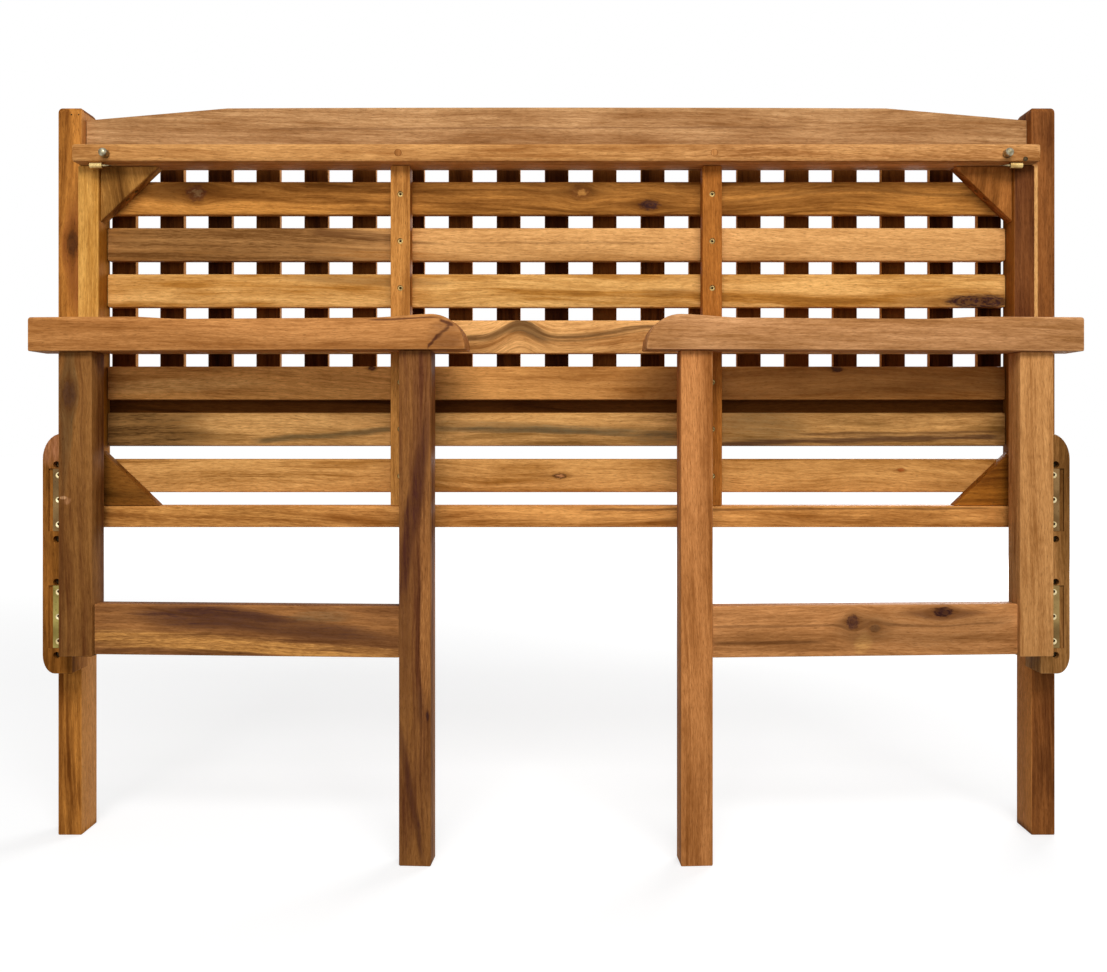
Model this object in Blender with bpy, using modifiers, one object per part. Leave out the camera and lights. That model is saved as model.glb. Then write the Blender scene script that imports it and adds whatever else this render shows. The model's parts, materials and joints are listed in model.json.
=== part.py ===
"""Folding garden bench, shown folded flat.

A slatted back frame stands on two rear legs. A slatted seat swings down on two pivot bolts, and two
side frames with arms swing out on butt hinges. Metres, +Z up, the front of the bench faces -Y.
Places are written as (x, forward, z): forward is measured from the front faces of the rear legs.
"""
import math

import bmesh
import bpy
from mathutils import Matrix, Vector

# Fits and facets
FIT_GAP = 0.0003
RUNNING_GAP = 0.0001
ARRIS = 0.0015
ROUND_SIDES = 24
KNUCKLE_SIDES = 16
HOLE_SIDES = 12
SHARP_DEGREES = 40
FLAT_DEGREES = 0.5
WELD_DISTANCE = 0.000001

# Rear legs
OVERALL_WIDTH = 1.200
REAR_LEG_WIDTH = 0.0285
REAR_LEG_DEPTH = 0.045
REAR_LEG_HEIGHT = 0.877
REAR_LEG_TOP_RADIUS = 0.009
REAR_LEG_TOP_SIDE_RADIUS = 0.0045

# Back rails and slats
BACK_RAIL_THICKNESS = 0.020
BACK_RAIL_SETBACK = 0.012
TOP_RAIL_BELOW_LEG_TOP = 0.051
TOP_RAIL_CROWN = 0.0537
TOP_RAIL_SHOULDER = 0.038
TOP_RAIL_CROWN_LENGTH = 0.800
TOP_RAIL_CAMBER = 0.001
TOP_RAIL_CAMBER_STEPS = 8
LOWER_BACK_RAIL_BOTTOM = 0.486
LOWER_BACK_RAIL_HEIGHT = 0.056
BACK_SLAT_COUNT = 19
BACK_SLAT_WIDTH = 0.029
BACK_SLAT_THICKNESS = 0.012
BACK_SLAT_TENON = 0.010
BACK_SLAT_ROUND = 0.002

# Hinge blocks on the rear legs
BLOCK_WIDTH = 0.0345
BLOCK_SIDE_SETBACK = 0.0018
BLOCK_DEPTH = 0.0447
BLOCK_BOTTOM = 0.2035
BLOCK_HEIGHT = 0.2795
BLOCK_TOP_ROUND_WIDTH = 0.022
BLOCK_TOP_ROUND_HEIGHT = 0.030
BLOCK_FOOT_ROUND_WIDTH = 0.014
BLOCK_FOOT_ROUND_HEIGHT = 0.022
BLOCK_SCREW_DIAMETER = 0.008
BLOCK_SCREW_DEPTH = 0.008
BLOCK_SCREW_INSET = 0.0177
BLOCK_FOOT_SCREW_RISE = 0.0216
BLOCK_LOWER_SCREW_RISE = 0.1068
BLOCK_UPPER_SCREW_RISE = 0.1566
BLOCK_TOP_SCREW_RISE = 0.2435
BLOCK_MORTISE_SLACK = 0.005

# Butt hinges
HINGE_STAND = 0.0006
LEAF_HEIGHT = 0.0725
LEAF_WIDTH = 0.0215
LEAF_THICKNESS = 0.0017
LEAF_OFFSET = 0.0011
LEAF_GAP = 0.00015
KNUCKLE_RADIUS = 0.003
KNUCKLE_COUNT = 5
HINGE_PIN_RADIUS = 0.0015
HINGE_PIN_STAND = 0.0008
LOWER_HINGE_HEIGHT = 0.0301
UPPER_HINGE_HEIGHT = 0.1661

# Seat, standing on its rear edge
SEAT_BOTTOM = 0.3732
SEAT_LENGTH = 0.4453
SEAT_RAIL_WIDTH = 0.0245
SEAT_RAIL_DEPTH = 0.0347
FRONT_RAIL_THICKNESS = 0.0205
FRONT_RAIL_DEPTH = 0.047
FRONT_RAIL_SETBACK = 0.006
REAR_RAIL_HEIGHT = 0.0248
SEAT_SLAT_COUNT = 7
SEAT_SLAT_WIDTH = 0.040
SEAT_SLAT_THICKNESS = 0.012
SEAT_SLAT_ROUND = 0.003
SEAT_FRONT_SLOT = 0.014
MID_SUPPORT_WIDTH = 0.023
MID_SUPPORT_SPACING = 0.366
SLAT_SCREW_DIAMETER = 0.007
SLAT_SCREW_DEPTH = 0.003
CORNER_BLOCK_LENGTH = 0.068
CORNER_BLOCK_HEIGHT = 0.065
CORNER_BLOCK_THICKNESS = 0.018
CORNER_SCREW_DIAMETER = 0.006
CORNER_SCREW_DEPTH = 0.010
CORNER_SCREW_SPACING = 0.014

# Seat pivots
WASHER_THICKNESS = 0.002
WASHER_RADIUS = 0.009
PIVOT_FORWARD = 0.024
PIVOT_RISE = 0.0133
PIVOT_BOLT_RADIUS = 0.004
PIVOT_HEAD_RADIUS = 0.0075
PIVOT_HEAD_THICKNESS = 0.0045
PIVOT_HEAD_RIM = 0.0018
PIVOT_HEAD_SINK = 0.006
PIVOT_BOLT_END = 0.002

# Locating pins and stop barrels under the seat's front rail
LOCK_PIN_RADIUS = 0.005
LOCK_PIN_LENGTH = 0.012
LOCK_PIN_SOCKET = 0.012
LOCK_PIN_DOME = 0.004
LOCK_PIN_RISE = 0.0085
LOCK_PIN_INSET = 0.0398
STOP_BARREL_RADIUS = 0.0037
STOP_BARREL_LENGTH = 0.014
STOP_BARREL_INSET = 0.0209
STOP_SCREW_RADIUS = 0.0015
STOP_SCREW_SINK = 0.0005
STOP_SCREW_REACH = 0.012
STOP_SCREW_POINT = 0.010

# Side frames, written flat: out is the distance from the hinge axis, thick is forward of it
FRAME_THICKNESS = 0.031
FRAME_AJAR_DEGREES = 3.3
REAR_POST_WIDTH = 0.0394
REAR_POST_ABOVE_BLOCK_FOOT = 0.0261
FRONT_LEG_WIDTH = 0.036
FRONT_LEG_PAST_SEAT = 0.00925
LOWER_RAIL_RISE = 0.002
LOWER_RAIL_HEIGHT = 0.0575
LOWER_RAIL_THICKNESS = 0.022
ARM_BOTTOM = 0.576
ARM_THICKNESS = 0.0384
ARM_DIP = 0.0029
ARM_HUMP = 0.0008
ARM_WIDTH = 0.042
ARM_INNER_OVERHANG = 0.002
ARM_REAR_OVERHANG = 0.0305
ARM_FRONT_OVERHANG = 0.0395
ARM_FLAT_LENGTH = 0.113
ARM_FALL_LENGTH = 0.067
ARM_RISE_LENGTH = 0.070
ARM_NOSE_LENGTH = 0.038
ARM_LIP_RADIUS = 0.0015
ARM_REAR_RADIUS = 0.003
ARM_CURVE_STEPS = 6
ARM_NOSE_STEPS = 12
ARM_LIP_STEPS = 3
ARM_ARRIS = 0.003
CORBEL_DEPTH = 0.032
CORBEL_WIDTH = 0.025
CORBEL_HEIGHT = 0.063
CORBEL_CURVE_HEIGHT = 0.030
CORBEL_TOE = 0.004
CORBEL_LANDING_GAP = 0.0005
CURVE_STEPS = 8
DOME_STEP_COUNT = 2
DOME_STEP_DEGREES = 60

# Places that follow from the sizes
LEG_OUTER = OVERALL_WIDTH / 2
LEG_INNER = LEG_OUTER - REAR_LEG_WIDTH
TOP_RAIL_BOTTOM = REAR_LEG_HEIGHT - TOP_RAIL_BELOW_LEG_TOP
BACK_RAIL_END = LEG_INNER - FIT_GAP
BLOCK_SCREW_RISES = (
    BLOCK_FOOT_SCREW_RISE, BLOCK_LOWER_SCREW_RISE, BLOCK_UPPER_SCREW_RISE, BLOCK_TOP_SCREW_RISE,
)
REAR_POST_BOTTOM = BLOCK_BOTTOM + REAR_POST_ABOVE_BLOCK_FOOT
BLOCK_OUTER = LEG_OUTER - BLOCK_SIDE_SETBACK
BLOCK_INNER = BLOCK_OUTER - BLOCK_WIDTH
BLOCK_FRONT = FIT_GAP + BLOCK_DEPTH
HINGE_X = BLOCK_INNER + HINGE_STAND
HINGE_FORWARD = BLOCK_FRONT + HINGE_STAND
SEAT_HALF_WIDTH = BLOCK_INNER - WASHER_THICKNESS - 2 * FIT_GAP
SEAT_INNER = SEAT_HALF_WIDTH - SEAT_RAIL_WIDTH
SEAT_TOP = SEAT_BOTTOM + SEAT_LENGTH
SEAT_RAIL_FRONT = FIT_GAP + SEAT_RAIL_DEPTH
FRONT_RAIL_BOTTOM = SEAT_TOP - FRONT_RAIL_THICKNESS
FRONT_RAIL_FRONT = FRONT_RAIL_SETBACK + FRONT_RAIL_DEPTH
REAR_RAIL_TOP = SEAT_BOTTOM + REAR_RAIL_HEIGHT
SEAT_SLAT_FRONT = FIT_GAP + SEAT_SLAT_THICKNESS
PIVOT_Z = SEAT_BOTTOM + PIVOT_RISE
SEAT_LANDING_OUT = PIVOT_FORWARD + (FRONT_RAIL_BOTTOM + SEAT_TOP) / 2 - PIVOT_Z - HINGE_FORWARD
SEAT_LANDING_Z = PIVOT_Z - (FRONT_RAIL_FRONT - PIVOT_FORWARD)
FRONT_LEG_CENTRE = SEAT_LANDING_OUT + FRONT_LEG_PAST_SEAT
FRONT_LEG_NEAR = FRONT_LEG_CENTRE - FRONT_LEG_WIDTH / 2
FRONT_LEG_FAR = FRONT_LEG_CENTRE + FRONT_LEG_WIDTH / 2
ARM_END = FRONT_LEG_FAR + ARM_FRONT_OVERHANG
HINGE_BASES = {
    "lower": BLOCK_BOTTOM + LOWER_HINGE_HEIGHT,
    "upper": BLOCK_BOTTOM + UPPER_HINGE_HEIGHT,
}
SIDES = {"left": -1, "right": 1}


def clear_scene():
    for item in list(bpy.data.objects):
        bpy.data.objects.remove(item, do_unlink=True)


def new_collection(name):
    collection = bpy.data.collections.new(name)
    bpy.context.scene.collection.children.link(collection)
    return collection


def new_look(name, colour, roughness, metallic=0.0):
    look = bpy.data.materials.new(name)
    look.use_nodes = True
    shader = look.node_tree.nodes["Principled BSDF"]
    shader.inputs["Base Color"].default_value = (*colour, 1.0)
    shader.inputs["Roughness"].default_value = roughness
    shader.inputs["Metallic"].default_value = metallic
    look.diffuse_color = (*colour, 1.0)
    return look


clear_scene()
PARTS = new_collection("folding_garden_bench")
CUTTERS = new_collection("cutters")
LOOKS = {
    "leg_wood": new_look("leg_wood", (0.50, 0.24, 0.09), 0.55),
    "back_rail_wood": new_look("back_rail_wood", (0.46, 0.26, 0.13), 0.55),
    "block_wood": new_look("block_wood", (0.40, 0.17, 0.07), 0.55),
    "seat_rail_wood": new_look("seat_rail_wood", (0.52, 0.29, 0.10), 0.55),
    "seat_slat_wood": new_look("seat_slat_wood", (0.58, 0.33, 0.12), 0.55),
    "arm_wood": new_look("arm_wood", (0.56, 0.30, 0.12), 0.5),
    "frame_wood": new_look("frame_wood", (0.45, 0.24, 0.10), 0.55),
    "brass": new_look("brass", (0.68, 0.52, 0.24), 0.35, 1.0),
    "steel": new_look("steel", (0.62, 0.58, 0.50), 0.3, 1.0),
}


def new_pivot(name, place, parent=None, turn_degrees=0.0):
    """Add an empty at (x, forward, z), turned about the upright axis."""
    pivot = bpy.data.objects.new(name, None)
    pivot.location = (place[0], -place[1], place[2])
    pivot.rotation_euler.z = math.radians(turn_degrees)
    pivot.parent = parent
    pivot.empty_display_size = 0.05
    PARTS.objects.link(pivot)
    return pivot


BENCH = new_pivot("bench_origin", (0, 0, 0))


def add_object(name, mesh, centre, parent, look=None, keep_place=False):
    """Link a mesh to the parts, or to the cutters where it has no look."""
    item = bpy.data.objects.new(name, mesh)
    item.location = (centre[0], -centre[1], centre[2])
    item.parent = parent
    if keep_place:
        item.matrix_parent_inverse = Matrix.Translation(-parent.location)
    if look is None:
        item.hide_render = True
        item.display_type = "WIRE"
        CUTTERS.objects.link(item)
    else:
        mesh.materials.append(LOOKS[look])
        PARTS.objects.link(item)
    return item


def bevel(item, width, segments=2):
    modifier = item.modifiers.new("rounded edges", "BEVEL")
    modifier.width = width
    modifier.segments = segments
    modifier.limit_method = "ANGLE"
    modifier.angle_limit = math.radians(SHARP_DEGREES)
    return item


def combine(item, other, operation):
    modifier = item.modifiers.new(f"{operation.lower()} {other.name}", "BOOLEAN")
    modifier.operation = operation
    modifier.object = other
    modifier.solver = "EXACT"
    return item


def box(name, low, high, parent, look=None, keep_place=False, edge=0.0):
    """Add a box between two corners written as (x, forward, z)."""
    size = [abs(b - a) for a, b in zip(low, high)]
    centre = [(a + b) / 2 for a, b in zip(low, high)]
    mesh = bpy.data.meshes.new(name)
    shape = bmesh.new()
    bmesh.ops.create_cube(shape, size=1.0)
    bmesh.ops.scale(shape, vec=size, verts=shape.verts)
    shape.to_mesh(mesh)
    shape.free()
    item = add_object(name, mesh, centre, parent, look, keep_place)
    if edge > 0:
        bevel(item, edge)
    return item


TURN_TO_AXIS = {
    "x": Matrix.Rotation(math.radians(90), 4, "Y"),
    "forward": Matrix.Rotation(math.radians(90), 4, "X"),
    "z": Matrix.Identity(4),
}


def rod(name, radius, length, centre, axis, parent, look=None, keep_place=False, sides=ROUND_SIDES):
    """Add a plain cylinder centred on a place, along x, forward or z."""
    mesh = bpy.data.meshes.new(name)
    shape = bmesh.new()
    bmesh.ops.create_cone(
        shape, cap_ends=True, segments=sides, radius1=radius, radius2=radius, depth=length,
        matrix=TURN_TO_AXIS[axis],
    )
    shape.to_mesh(mesh)
    shape.free()
    mesh.shade_smooth()
    mesh.set_sharp_from_angle(angle=math.radians(SHARP_DEGREES))
    return add_object(name, mesh, centre, parent, look, keep_place)


def turned(name, profile, start, axis, parent, look, keep_place=False):
    """Turn a profile of (radius, along) points, from its far end to its near end, about an axis."""
    mesh = bpy.data.meshes.new(name)
    points = [(radius, 0.0, along) for radius, along in profile]
    edges = [(i, i + 1) for i in range(len(points) - 1)]
    mesh.from_pydata(points, edges, [])
    item = add_object(name, mesh, start, parent, look, keep_place)
    item.rotation_euler = TURN_TO_AXIS[axis].to_euler()
    screw = item.modifiers.new("turned", "SCREW")
    screw.steps = ROUND_SIDES
    screw.render_steps = ROUND_SIDES
    screw.use_merge_vertices = True
    screw.merge_threshold = WELD_DISTANCE
    screw.use_smooth_shade = False
    return item


def plate(name, outline, span, across, parent, look=None, keep_place=False, edge=ARRIS):
    """Extrude an outline across x, or across forward, between the two places in span."""
    curve = bpy.data.curves.new(name, "CURVE")
    curve.dimensions = "2D"
    curve.fill_mode = "BOTH"
    curve.extrude = abs(span[1] - span[0]) / 2
    spline = curve.splines.new("POLY")
    spline.points.add(len(outline) - 1)
    for point, (along, up) in zip(spline.points, outline):
        point.co = (along, up, 0.0, 1.0)
    spline.use_cyclic_u = True
    drawn = bpy.data.objects.new(f"{name}_outline", curve)
    bpy.context.scene.collection.objects.link(drawn)
    mesh = bpy.data.meshes.new_from_object(drawn.evaluated_get(bpy.context.evaluated_depsgraph_get()))
    bpy.data.objects.remove(drawn, do_unlink=True)
    bpy.data.curves.remove(curve)
    mesh.name = name
    shape = bmesh.new()
    shape.from_mesh(mesh)
    bmesh.ops.remove_doubles(shape, verts=shape.verts, dist=WELD_DISTANCE)
    flat = math.radians(FLAT_DEGREES)
    bmesh.ops.dissolve_limit(shape, angle_limit=flat, verts=shape.verts, edges=shape.edges)
    middle = (span[0] + span[1]) / 2
    for vertex in shape.verts:
        along, up, depth = vertex.co
        vertex.co = (along, -depth, up) if across == "forward" else (depth, -along, up)
    bmesh.ops.recalc_face_normals(shape, faces=shape.faces)
    shape.to_mesh(mesh)
    shape.free()
    centre = (0.0, middle, 0.0) if across == "forward" else (middle, 0.0, 0.0)
    item = add_object(name, mesh, centre, parent, look, keep_place)
    if edge > 0:
        bevel(item, edge)
    return item


def arc(centre, radii, start_degrees, end_degrees, count=CURVE_STEPS):
    """List the points of a quarter of an ellipse, or less."""
    steps = [start_degrees + (end_degrees - start_degrees) * i / count for i in range(count + 1)]
    return [
        (
            centre[0] + radii[0] * math.cos(math.radians(step)),
            centre[1] + radii[1] * math.sin(math.radians(step)),
        )
        for step in steps
    ]


def dome(radius, top, height):
    """List (radius, along) points down a domed end, from its top on the axis to its rim."""
    rim = arc((0.0, top - height), (radius, height), DOME_STEP_DEGREES, 0, DOME_STEP_COUNT)
    return [(0.0, top)] + rim


def mirrored(points):
    return [(-along, up) for along, up in reversed(points)]


def soft_step(start, end, count):
    """List the points after start of a soft slope between two (along, up) places."""
    points = []
    for i in range(1, count + 1):
        share = i / count
        rise = (1 - math.cos(math.pi * share)) / 2
        points.append((start[0] + (end[0] - start[0]) * share, start[1] + (end[1] - start[1]) * rise))
    return points


def rear_leg(name, side):
    """Square leg, rounded over at the top on all four sides."""
    radius = REAR_LEG_TOP_RADIUS
    top = REAR_LEG_HEIGHT
    outline = [(-REAR_LEG_DEPTH, 0.0), (0.0, 0.0)]
    outline += arc((-radius, top - radius), (radius, radius), 0, 90)
    outline += arc((-REAR_LEG_DEPTH + radius, top - radius), (radius, radius), 90, 180)
    span = (side * LEG_INNER, side * LEG_OUTER)
    leg = plate(f"{name}_rear_leg", outline, span, "x", BENCH, "leg_wood")
    radius = REAR_LEG_TOP_SIDE_RADIUS
    radii = (radius, REAR_LEG_TOP_RADIUS)
    centre_z = top - REAR_LEG_TOP_RADIUS
    middle = side * (LEG_INNER + LEG_OUTER) / 2
    half = REAR_LEG_WIDTH / 2
    front_view = [(middle - half, -REAR_LEG_DEPTH), (middle + half, -REAR_LEG_DEPTH)]
    front_view += arc((middle + half - radius, centre_z), radii, 0, 90)
    front_view += arc((middle - half + radius, centre_z), radii, 90, 180)
    depth = (-2 * REAR_LEG_DEPTH, REAR_LEG_DEPTH)
    rounding = plate(f"{name}_leg_rounding", front_view, depth, "forward", BENCH, edge=0)
    return combine(leg, rounding, "INTERSECT")


def back_slat_places():
    """Give the centre of each back slat, evenly spaced between the rear legs."""
    slot = (2 * LEG_INNER - BACK_SLAT_COUNT * BACK_SLAT_WIDTH) / (BACK_SLAT_COUNT + 1)
    pitch = slot + BACK_SLAT_WIDTH
    return [(i - (BACK_SLAT_COUNT - 1) / 2) * pitch for i in range(BACK_SLAT_COUNT)]


def back_rail_faces():
    """Give the back and front of the back rails, forward of the legs' front faces."""
    front = -BACK_RAIL_SETBACK
    return front - BACK_RAIL_THICKNESS, front


def back_slat_faces():
    back, front = back_rail_faces()
    middle = (back + front) / 2
    return middle - BACK_SLAT_THICKNESS / 2, middle + BACK_SLAT_THICKNESS / 2


def top_rail():
    """Arched rail: a crown with a slight camber that falls straight to a shoulder at each leg."""
    right = []
    for i in range(1, TOP_RAIL_CAMBER_STEPS + 1):
        share = i / TOP_RAIL_CAMBER_STEPS
        up = TOP_RAIL_CROWN - TOP_RAIL_CAMBER * share ** 2
        right.append((TOP_RAIL_CROWN_LENGTH / 2 * share, TOP_RAIL_BOTTOM + up))
    right.append((BACK_RAIL_END, TOP_RAIL_BOTTOM + TOP_RAIL_SHOULDER))
    right.append((BACK_RAIL_END, TOP_RAIL_BOTTOM))
    outline = right + mirrored(right)
    rail = plate("back_top_rail", outline, back_rail_faces(), "forward", BENCH, "back_rail_wood")
    back, front = back_slat_faces()
    pockets = []
    for i, x in enumerate(back_slat_places()):
        half = BACK_SLAT_WIDTH / 2 + FIT_GAP
        low = (x - half, back - FIT_GAP, TOP_RAIL_BOTTOM - BACK_SLAT_TENON)
        high = (x + half, front + FIT_GAP, TOP_RAIL_BOTTOM + BACK_SLAT_TENON + FIT_GAP)
        pockets.append(box(f"slat_mortise_{i + 1}", low, high, BENCH))
    return combine(rail, join(pockets, "slat_mortises"), "DIFFERENCE")


def join(items, name):
    """Join cutters or blanks into one object with several bodies."""
    shape = bmesh.new()
    for item in items:
        part = item.data.copy()
        part.transform(Matrix.Translation(item.location))
        shape.from_mesh(part)
        bpy.data.meshes.remove(part)
    parent = items[0].parent
    for item in items:
        bpy.data.objects.remove(item, do_unlink=True)
    mesh = bpy.data.meshes.new(name)
    shape.to_mesh(mesh)
    shape.free()
    return add_object(name, mesh, (0, 0, 0), parent)


def back_comb():
    """Lower back rail with the upright slats that it carries, as one piece."""
    back, front = back_rail_faces()
    top = LOWER_BACK_RAIL_BOTTOM + LOWER_BACK_RAIL_HEIGHT
    low = (-BACK_RAIL_END, back, LOWER_BACK_RAIL_BOTTOM)
    high = (BACK_RAIL_END, front, top)
    rail = box("back_slats_and_lower_rail", low, high, BENCH, "back_rail_wood", edge=ARRIS)
    slat_back, slat_front = back_slat_faces()
    slats = []
    for i, x in enumerate(back_slat_places()):
        half = BACK_SLAT_WIDTH / 2
        slat_low = (x - half, slat_back, top - BACK_SLAT_TENON)
        slat_high = (x + half, slat_front, TOP_RAIL_BOTTOM + BACK_SLAT_TENON)
        slats.append(box(f"slat_blank_{i + 1}", slat_low, slat_high, BENCH))
    blanks = bevel(join(slats, "slat_blanks"), BACK_SLAT_ROUND, 1)
    return combine(rail, blanks, "UNION")


def hinge_block(name, side):
    """Upright block screwed to a rear leg, with rounded outer corners and hinge mortises."""
    top = BLOCK_BOTTOM + BLOCK_HEIGHT
    top_round = (BLOCK_TOP_ROUND_WIDTH, BLOCK_TOP_ROUND_HEIGHT)
    foot_round = (BLOCK_FOOT_ROUND_WIDTH, BLOCK_FOOT_ROUND_HEIGHT)
    outline = [(BLOCK_INNER, BLOCK_BOTTOM)]
    outline += arc((BLOCK_OUTER - foot_round[0], BLOCK_BOTTOM + foot_round[1]), foot_round, -90, 0)
    outline += arc((BLOCK_OUTER - top_round[0], top - top_round[1]), top_round, 0, 90)
    outline.append((BLOCK_INNER, top))
    if side < 0:
        outline = mirrored(outline)
    block = plate(
        f"{name}_hinge_block", outline, (FIT_GAP, BLOCK_FRONT), "forward", BENCH, "block_wood",
    )
    screw_x = side * (BLOCK_INNER + BLOCK_SCREW_INSET)
    for i, rise in enumerate(BLOCK_SCREW_RISES):
        centre = (screw_x, BLOCK_FRONT, BLOCK_BOTTOM + rise)
        hole = rod(
            f"{name}_block_screw_hole_{i + 1}", BLOCK_SCREW_DIAMETER / 2, 2 * BLOCK_SCREW_DEPTH,
            centre, "forward", BENCH, sides=HOLE_SIDES,
        )
        combine(block, hole, "DIFFERENCE")
    bore_centre = (side * (BLOCK_INNER + BLOCK_OUTER) / 2, PIVOT_FORWARD, PIVOT_Z)
    bore = rod(
        f"{name}_block_pivot_bore", PIVOT_BOLT_RADIUS + RUNNING_GAP, 2 * BLOCK_WIDTH, bore_centre, "x",
        BENCH,
    )
    combine(block, bore, "DIFFERENCE")
    sink_centre = (side * BLOCK_OUTER, PIVOT_FORWARD, PIVOT_Z)
    sink = rod(
        f"{name}_block_pivot_sink", PIVOT_HEAD_RADIUS + FIT_GAP, 2 * PIVOT_HEAD_SINK, sink_centre, "x",
        BENCH,
    )
    combine(block, sink, "DIFFERENCE")
    return block


def leaf_mortise(label, blank, pivot, base, side, fixed):
    """Let a hinge leaf and its knuckles into a block or a post."""
    low_z = base - FIT_GAP
    high_z = base + LEAF_HEIGHT + FIT_GAP
    floor = LEAF_OFFSET + LEAF_THICKNESS + FIT_GAP
    reach = LEAF_WIDTH + FIT_GAP
    proud = HINGE_STAND
    if fixed:
        far = side * (LEAF_WIDTH + BLOCK_MORTISE_SLACK)
        pocket = box(f"{label}_pocket", (0, -floor, low_z), (far, proud, high_z), pivot)
    else:
        pocket = box(f"{label}_pocket", (side * proud, 0, low_z), (-side * floor, reach, high_z), pivot)
    combine(blank, pocket, "DIFFERENCE")
    length = LEAF_HEIGHT + 2 * (HINGE_PIN_STAND + FIT_GAP)
    groove = rod(
        f"{label}_groove", KNUCKLE_RADIUS + 2 * FIT_GAP, length, (0, 0, base + LEAF_HEIGHT / 2), "z",
        pivot, sides=KNUCKLE_SIDES,
    )
    combine(blank, groove, "DIFFERENCE")


def knuckles(label, pivot, base, own, radius, gap):
    """Stack every second knuckle of a hinge, starting with the first or the second."""
    step = LEAF_HEIGHT / KNUCKLE_COUNT
    stack = []
    for i in range(0 if own else 1, KNUCKLE_COUNT, 2):
        centre = (0, 0, base + (i + 0.5) * step)
        stack.append(
            rod(f"{label}_{i + 1}", radius, step - 2 * gap, centre, "z", pivot, sides=KNUCKLE_SIDES)
        )
    return join(stack, label)


def hinge_leaf(name, pivot, base, side, fixed):
    """Brass leaf with its share of the knuckles, bored for the pin."""
    near = LEAF_OFFSET
    far = LEAF_OFFSET + LEAF_THICKNESS
    top = base + LEAF_HEIGHT
    if fixed:
        low = (side * HINGE_PIN_RADIUS, -far, base)
        high = (side * LEAF_WIDTH, -near, top)
    else:
        low = (-side * far, HINGE_PIN_RADIUS, base)
        high = (-side * near, LEAF_WIDTH, top)
    leaf = box(name, low, high, pivot, "brass")
    clearance = knuckles(
        f"{name}_clearance", pivot, base, not fixed, KNUCKLE_RADIUS + FIT_GAP, -2 * LEAF_GAP,
    )
    combine(leaf, clearance, "DIFFERENCE")
    own = knuckles(f"{name}_knuckles", pivot, base, fixed, KNUCKLE_RADIUS, LEAF_GAP)
    combine(leaf, own, "UNION")
    bore = rod(
        f"{name}_bore", HINGE_PIN_RADIUS + RUNNING_GAP, 2 * LEAF_HEIGHT, (0, 0, base + LEAF_HEIGHT / 2),
        "z", pivot, sides=KNUCKLE_SIDES,
    )
    return combine(leaf, bore, "DIFFERENCE")


def hinge_pin(name, pivot, base):
    stand = HINGE_PIN_STAND
    length = LEAF_HEIGHT + 2 * stand
    centre = (0, 0, base + LEAF_HEIGHT / 2)
    return rod(name, HINGE_PIN_RADIUS, length, centre, "z", pivot, "brass", sides=KNUCKLE_SIDES)


def pivot_bolt(name, side):
    """Round-headed bolt sunk in the block's outer face, its end in the seat's side rail."""
    start = side * (BLOCK_OUTER - PIVOT_HEAD_SINK + FIT_GAP)
    shank = BLOCK_OUTER - PIVOT_HEAD_SINK + FIT_GAP - SEAT_INNER - PIVOT_BOLT_END
    profile = dome(PIVOT_HEAD_RADIUS, PIVOT_HEAD_THICKNESS, PIVOT_HEAD_THICKNESS - PIVOT_HEAD_RIM)
    profile += [(PIVOT_HEAD_RADIUS, 0.0), (PIVOT_BOLT_RADIUS, 0.0)]
    profile += [(PIVOT_BOLT_RADIUS, -shank), (0.0, -shank)]
    bolt = turned(f"{name}_pivot_bolt", profile, (start, PIVOT_FORWARD, PIVOT_Z), "x", BENCH, "steel")
    if side < 0:
        bolt.rotation_euler.y = math.radians(-90)
    return bolt


def pivot_washer(name, side):
    centre = (side * (SEAT_HALF_WIDTH + BLOCK_INNER) / 2, PIVOT_FORWARD, PIVOT_Z)
    washer = rod(f"{name}_pivot_washer", WASHER_RADIUS, WASHER_THICKNESS, centre, "x", BENCH, "steel")
    bore = rod(
        f"{name}_washer_bore", PIVOT_BOLT_RADIUS + RUNNING_GAP, 2 * WASHER_THICKNESS, centre, "x", BENCH,
    )
    return combine(washer, bore, "DIFFERENCE")


def seat_side_rail(name, side, seat):
    low = (side * SEAT_INNER, FIT_GAP, SEAT_BOTTOM)
    high = (side * SEAT_HALF_WIDTH, SEAT_RAIL_FRONT, FRONT_RAIL_BOTTOM - FIT_GAP)
    rail = box(f"{name}_seat_rail", low, high, seat, "seat_rail_wood", True, ARRIS)
    depth = SEAT_RAIL_WIDTH - PIVOT_BOLT_END + FIT_GAP
    centre = (side * SEAT_HALF_WIDTH, PIVOT_FORWARD, PIVOT_Z)
    bore = rod(
        f"{name}_rail_bore", PIVOT_BOLT_RADIUS + RUNNING_GAP, 2 * depth, centre, "x", seat, None, True,
    )
    return combine(rail, bore, "DIFFERENCE")


def seat_front_rail(seat):
    low = (-SEAT_HALF_WIDTH, FRONT_RAIL_SETBACK, FRONT_RAIL_BOTTOM)
    high = (SEAT_HALF_WIDTH, FRONT_RAIL_FRONT, SEAT_TOP)
    rail = box("seat_front_rail", low, high, seat, "seat_rail_wood", True, 2 * ARRIS)
    for name, side in SIDES.items():
        socket = rod(
            f"{name}_pin_socket", LOCK_PIN_RADIUS + RUNNING_GAP, 2 * (LOCK_PIN_SOCKET + FIT_GAP),
            lock_pin_place(side), "forward", seat, None, True,
        )
        combine(rail, socket, "DIFFERENCE")
    return rail


def seat_rear_rail(seat):
    end = SEAT_INNER - FIT_GAP
    low = (-end, FIT_GAP, SEAT_BOTTOM)
    high = (end, SEAT_RAIL_FRONT, REAR_RAIL_TOP)
    return box("seat_rear_rail", low, high, seat, "seat_rail_wood", True, ARRIS)


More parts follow.
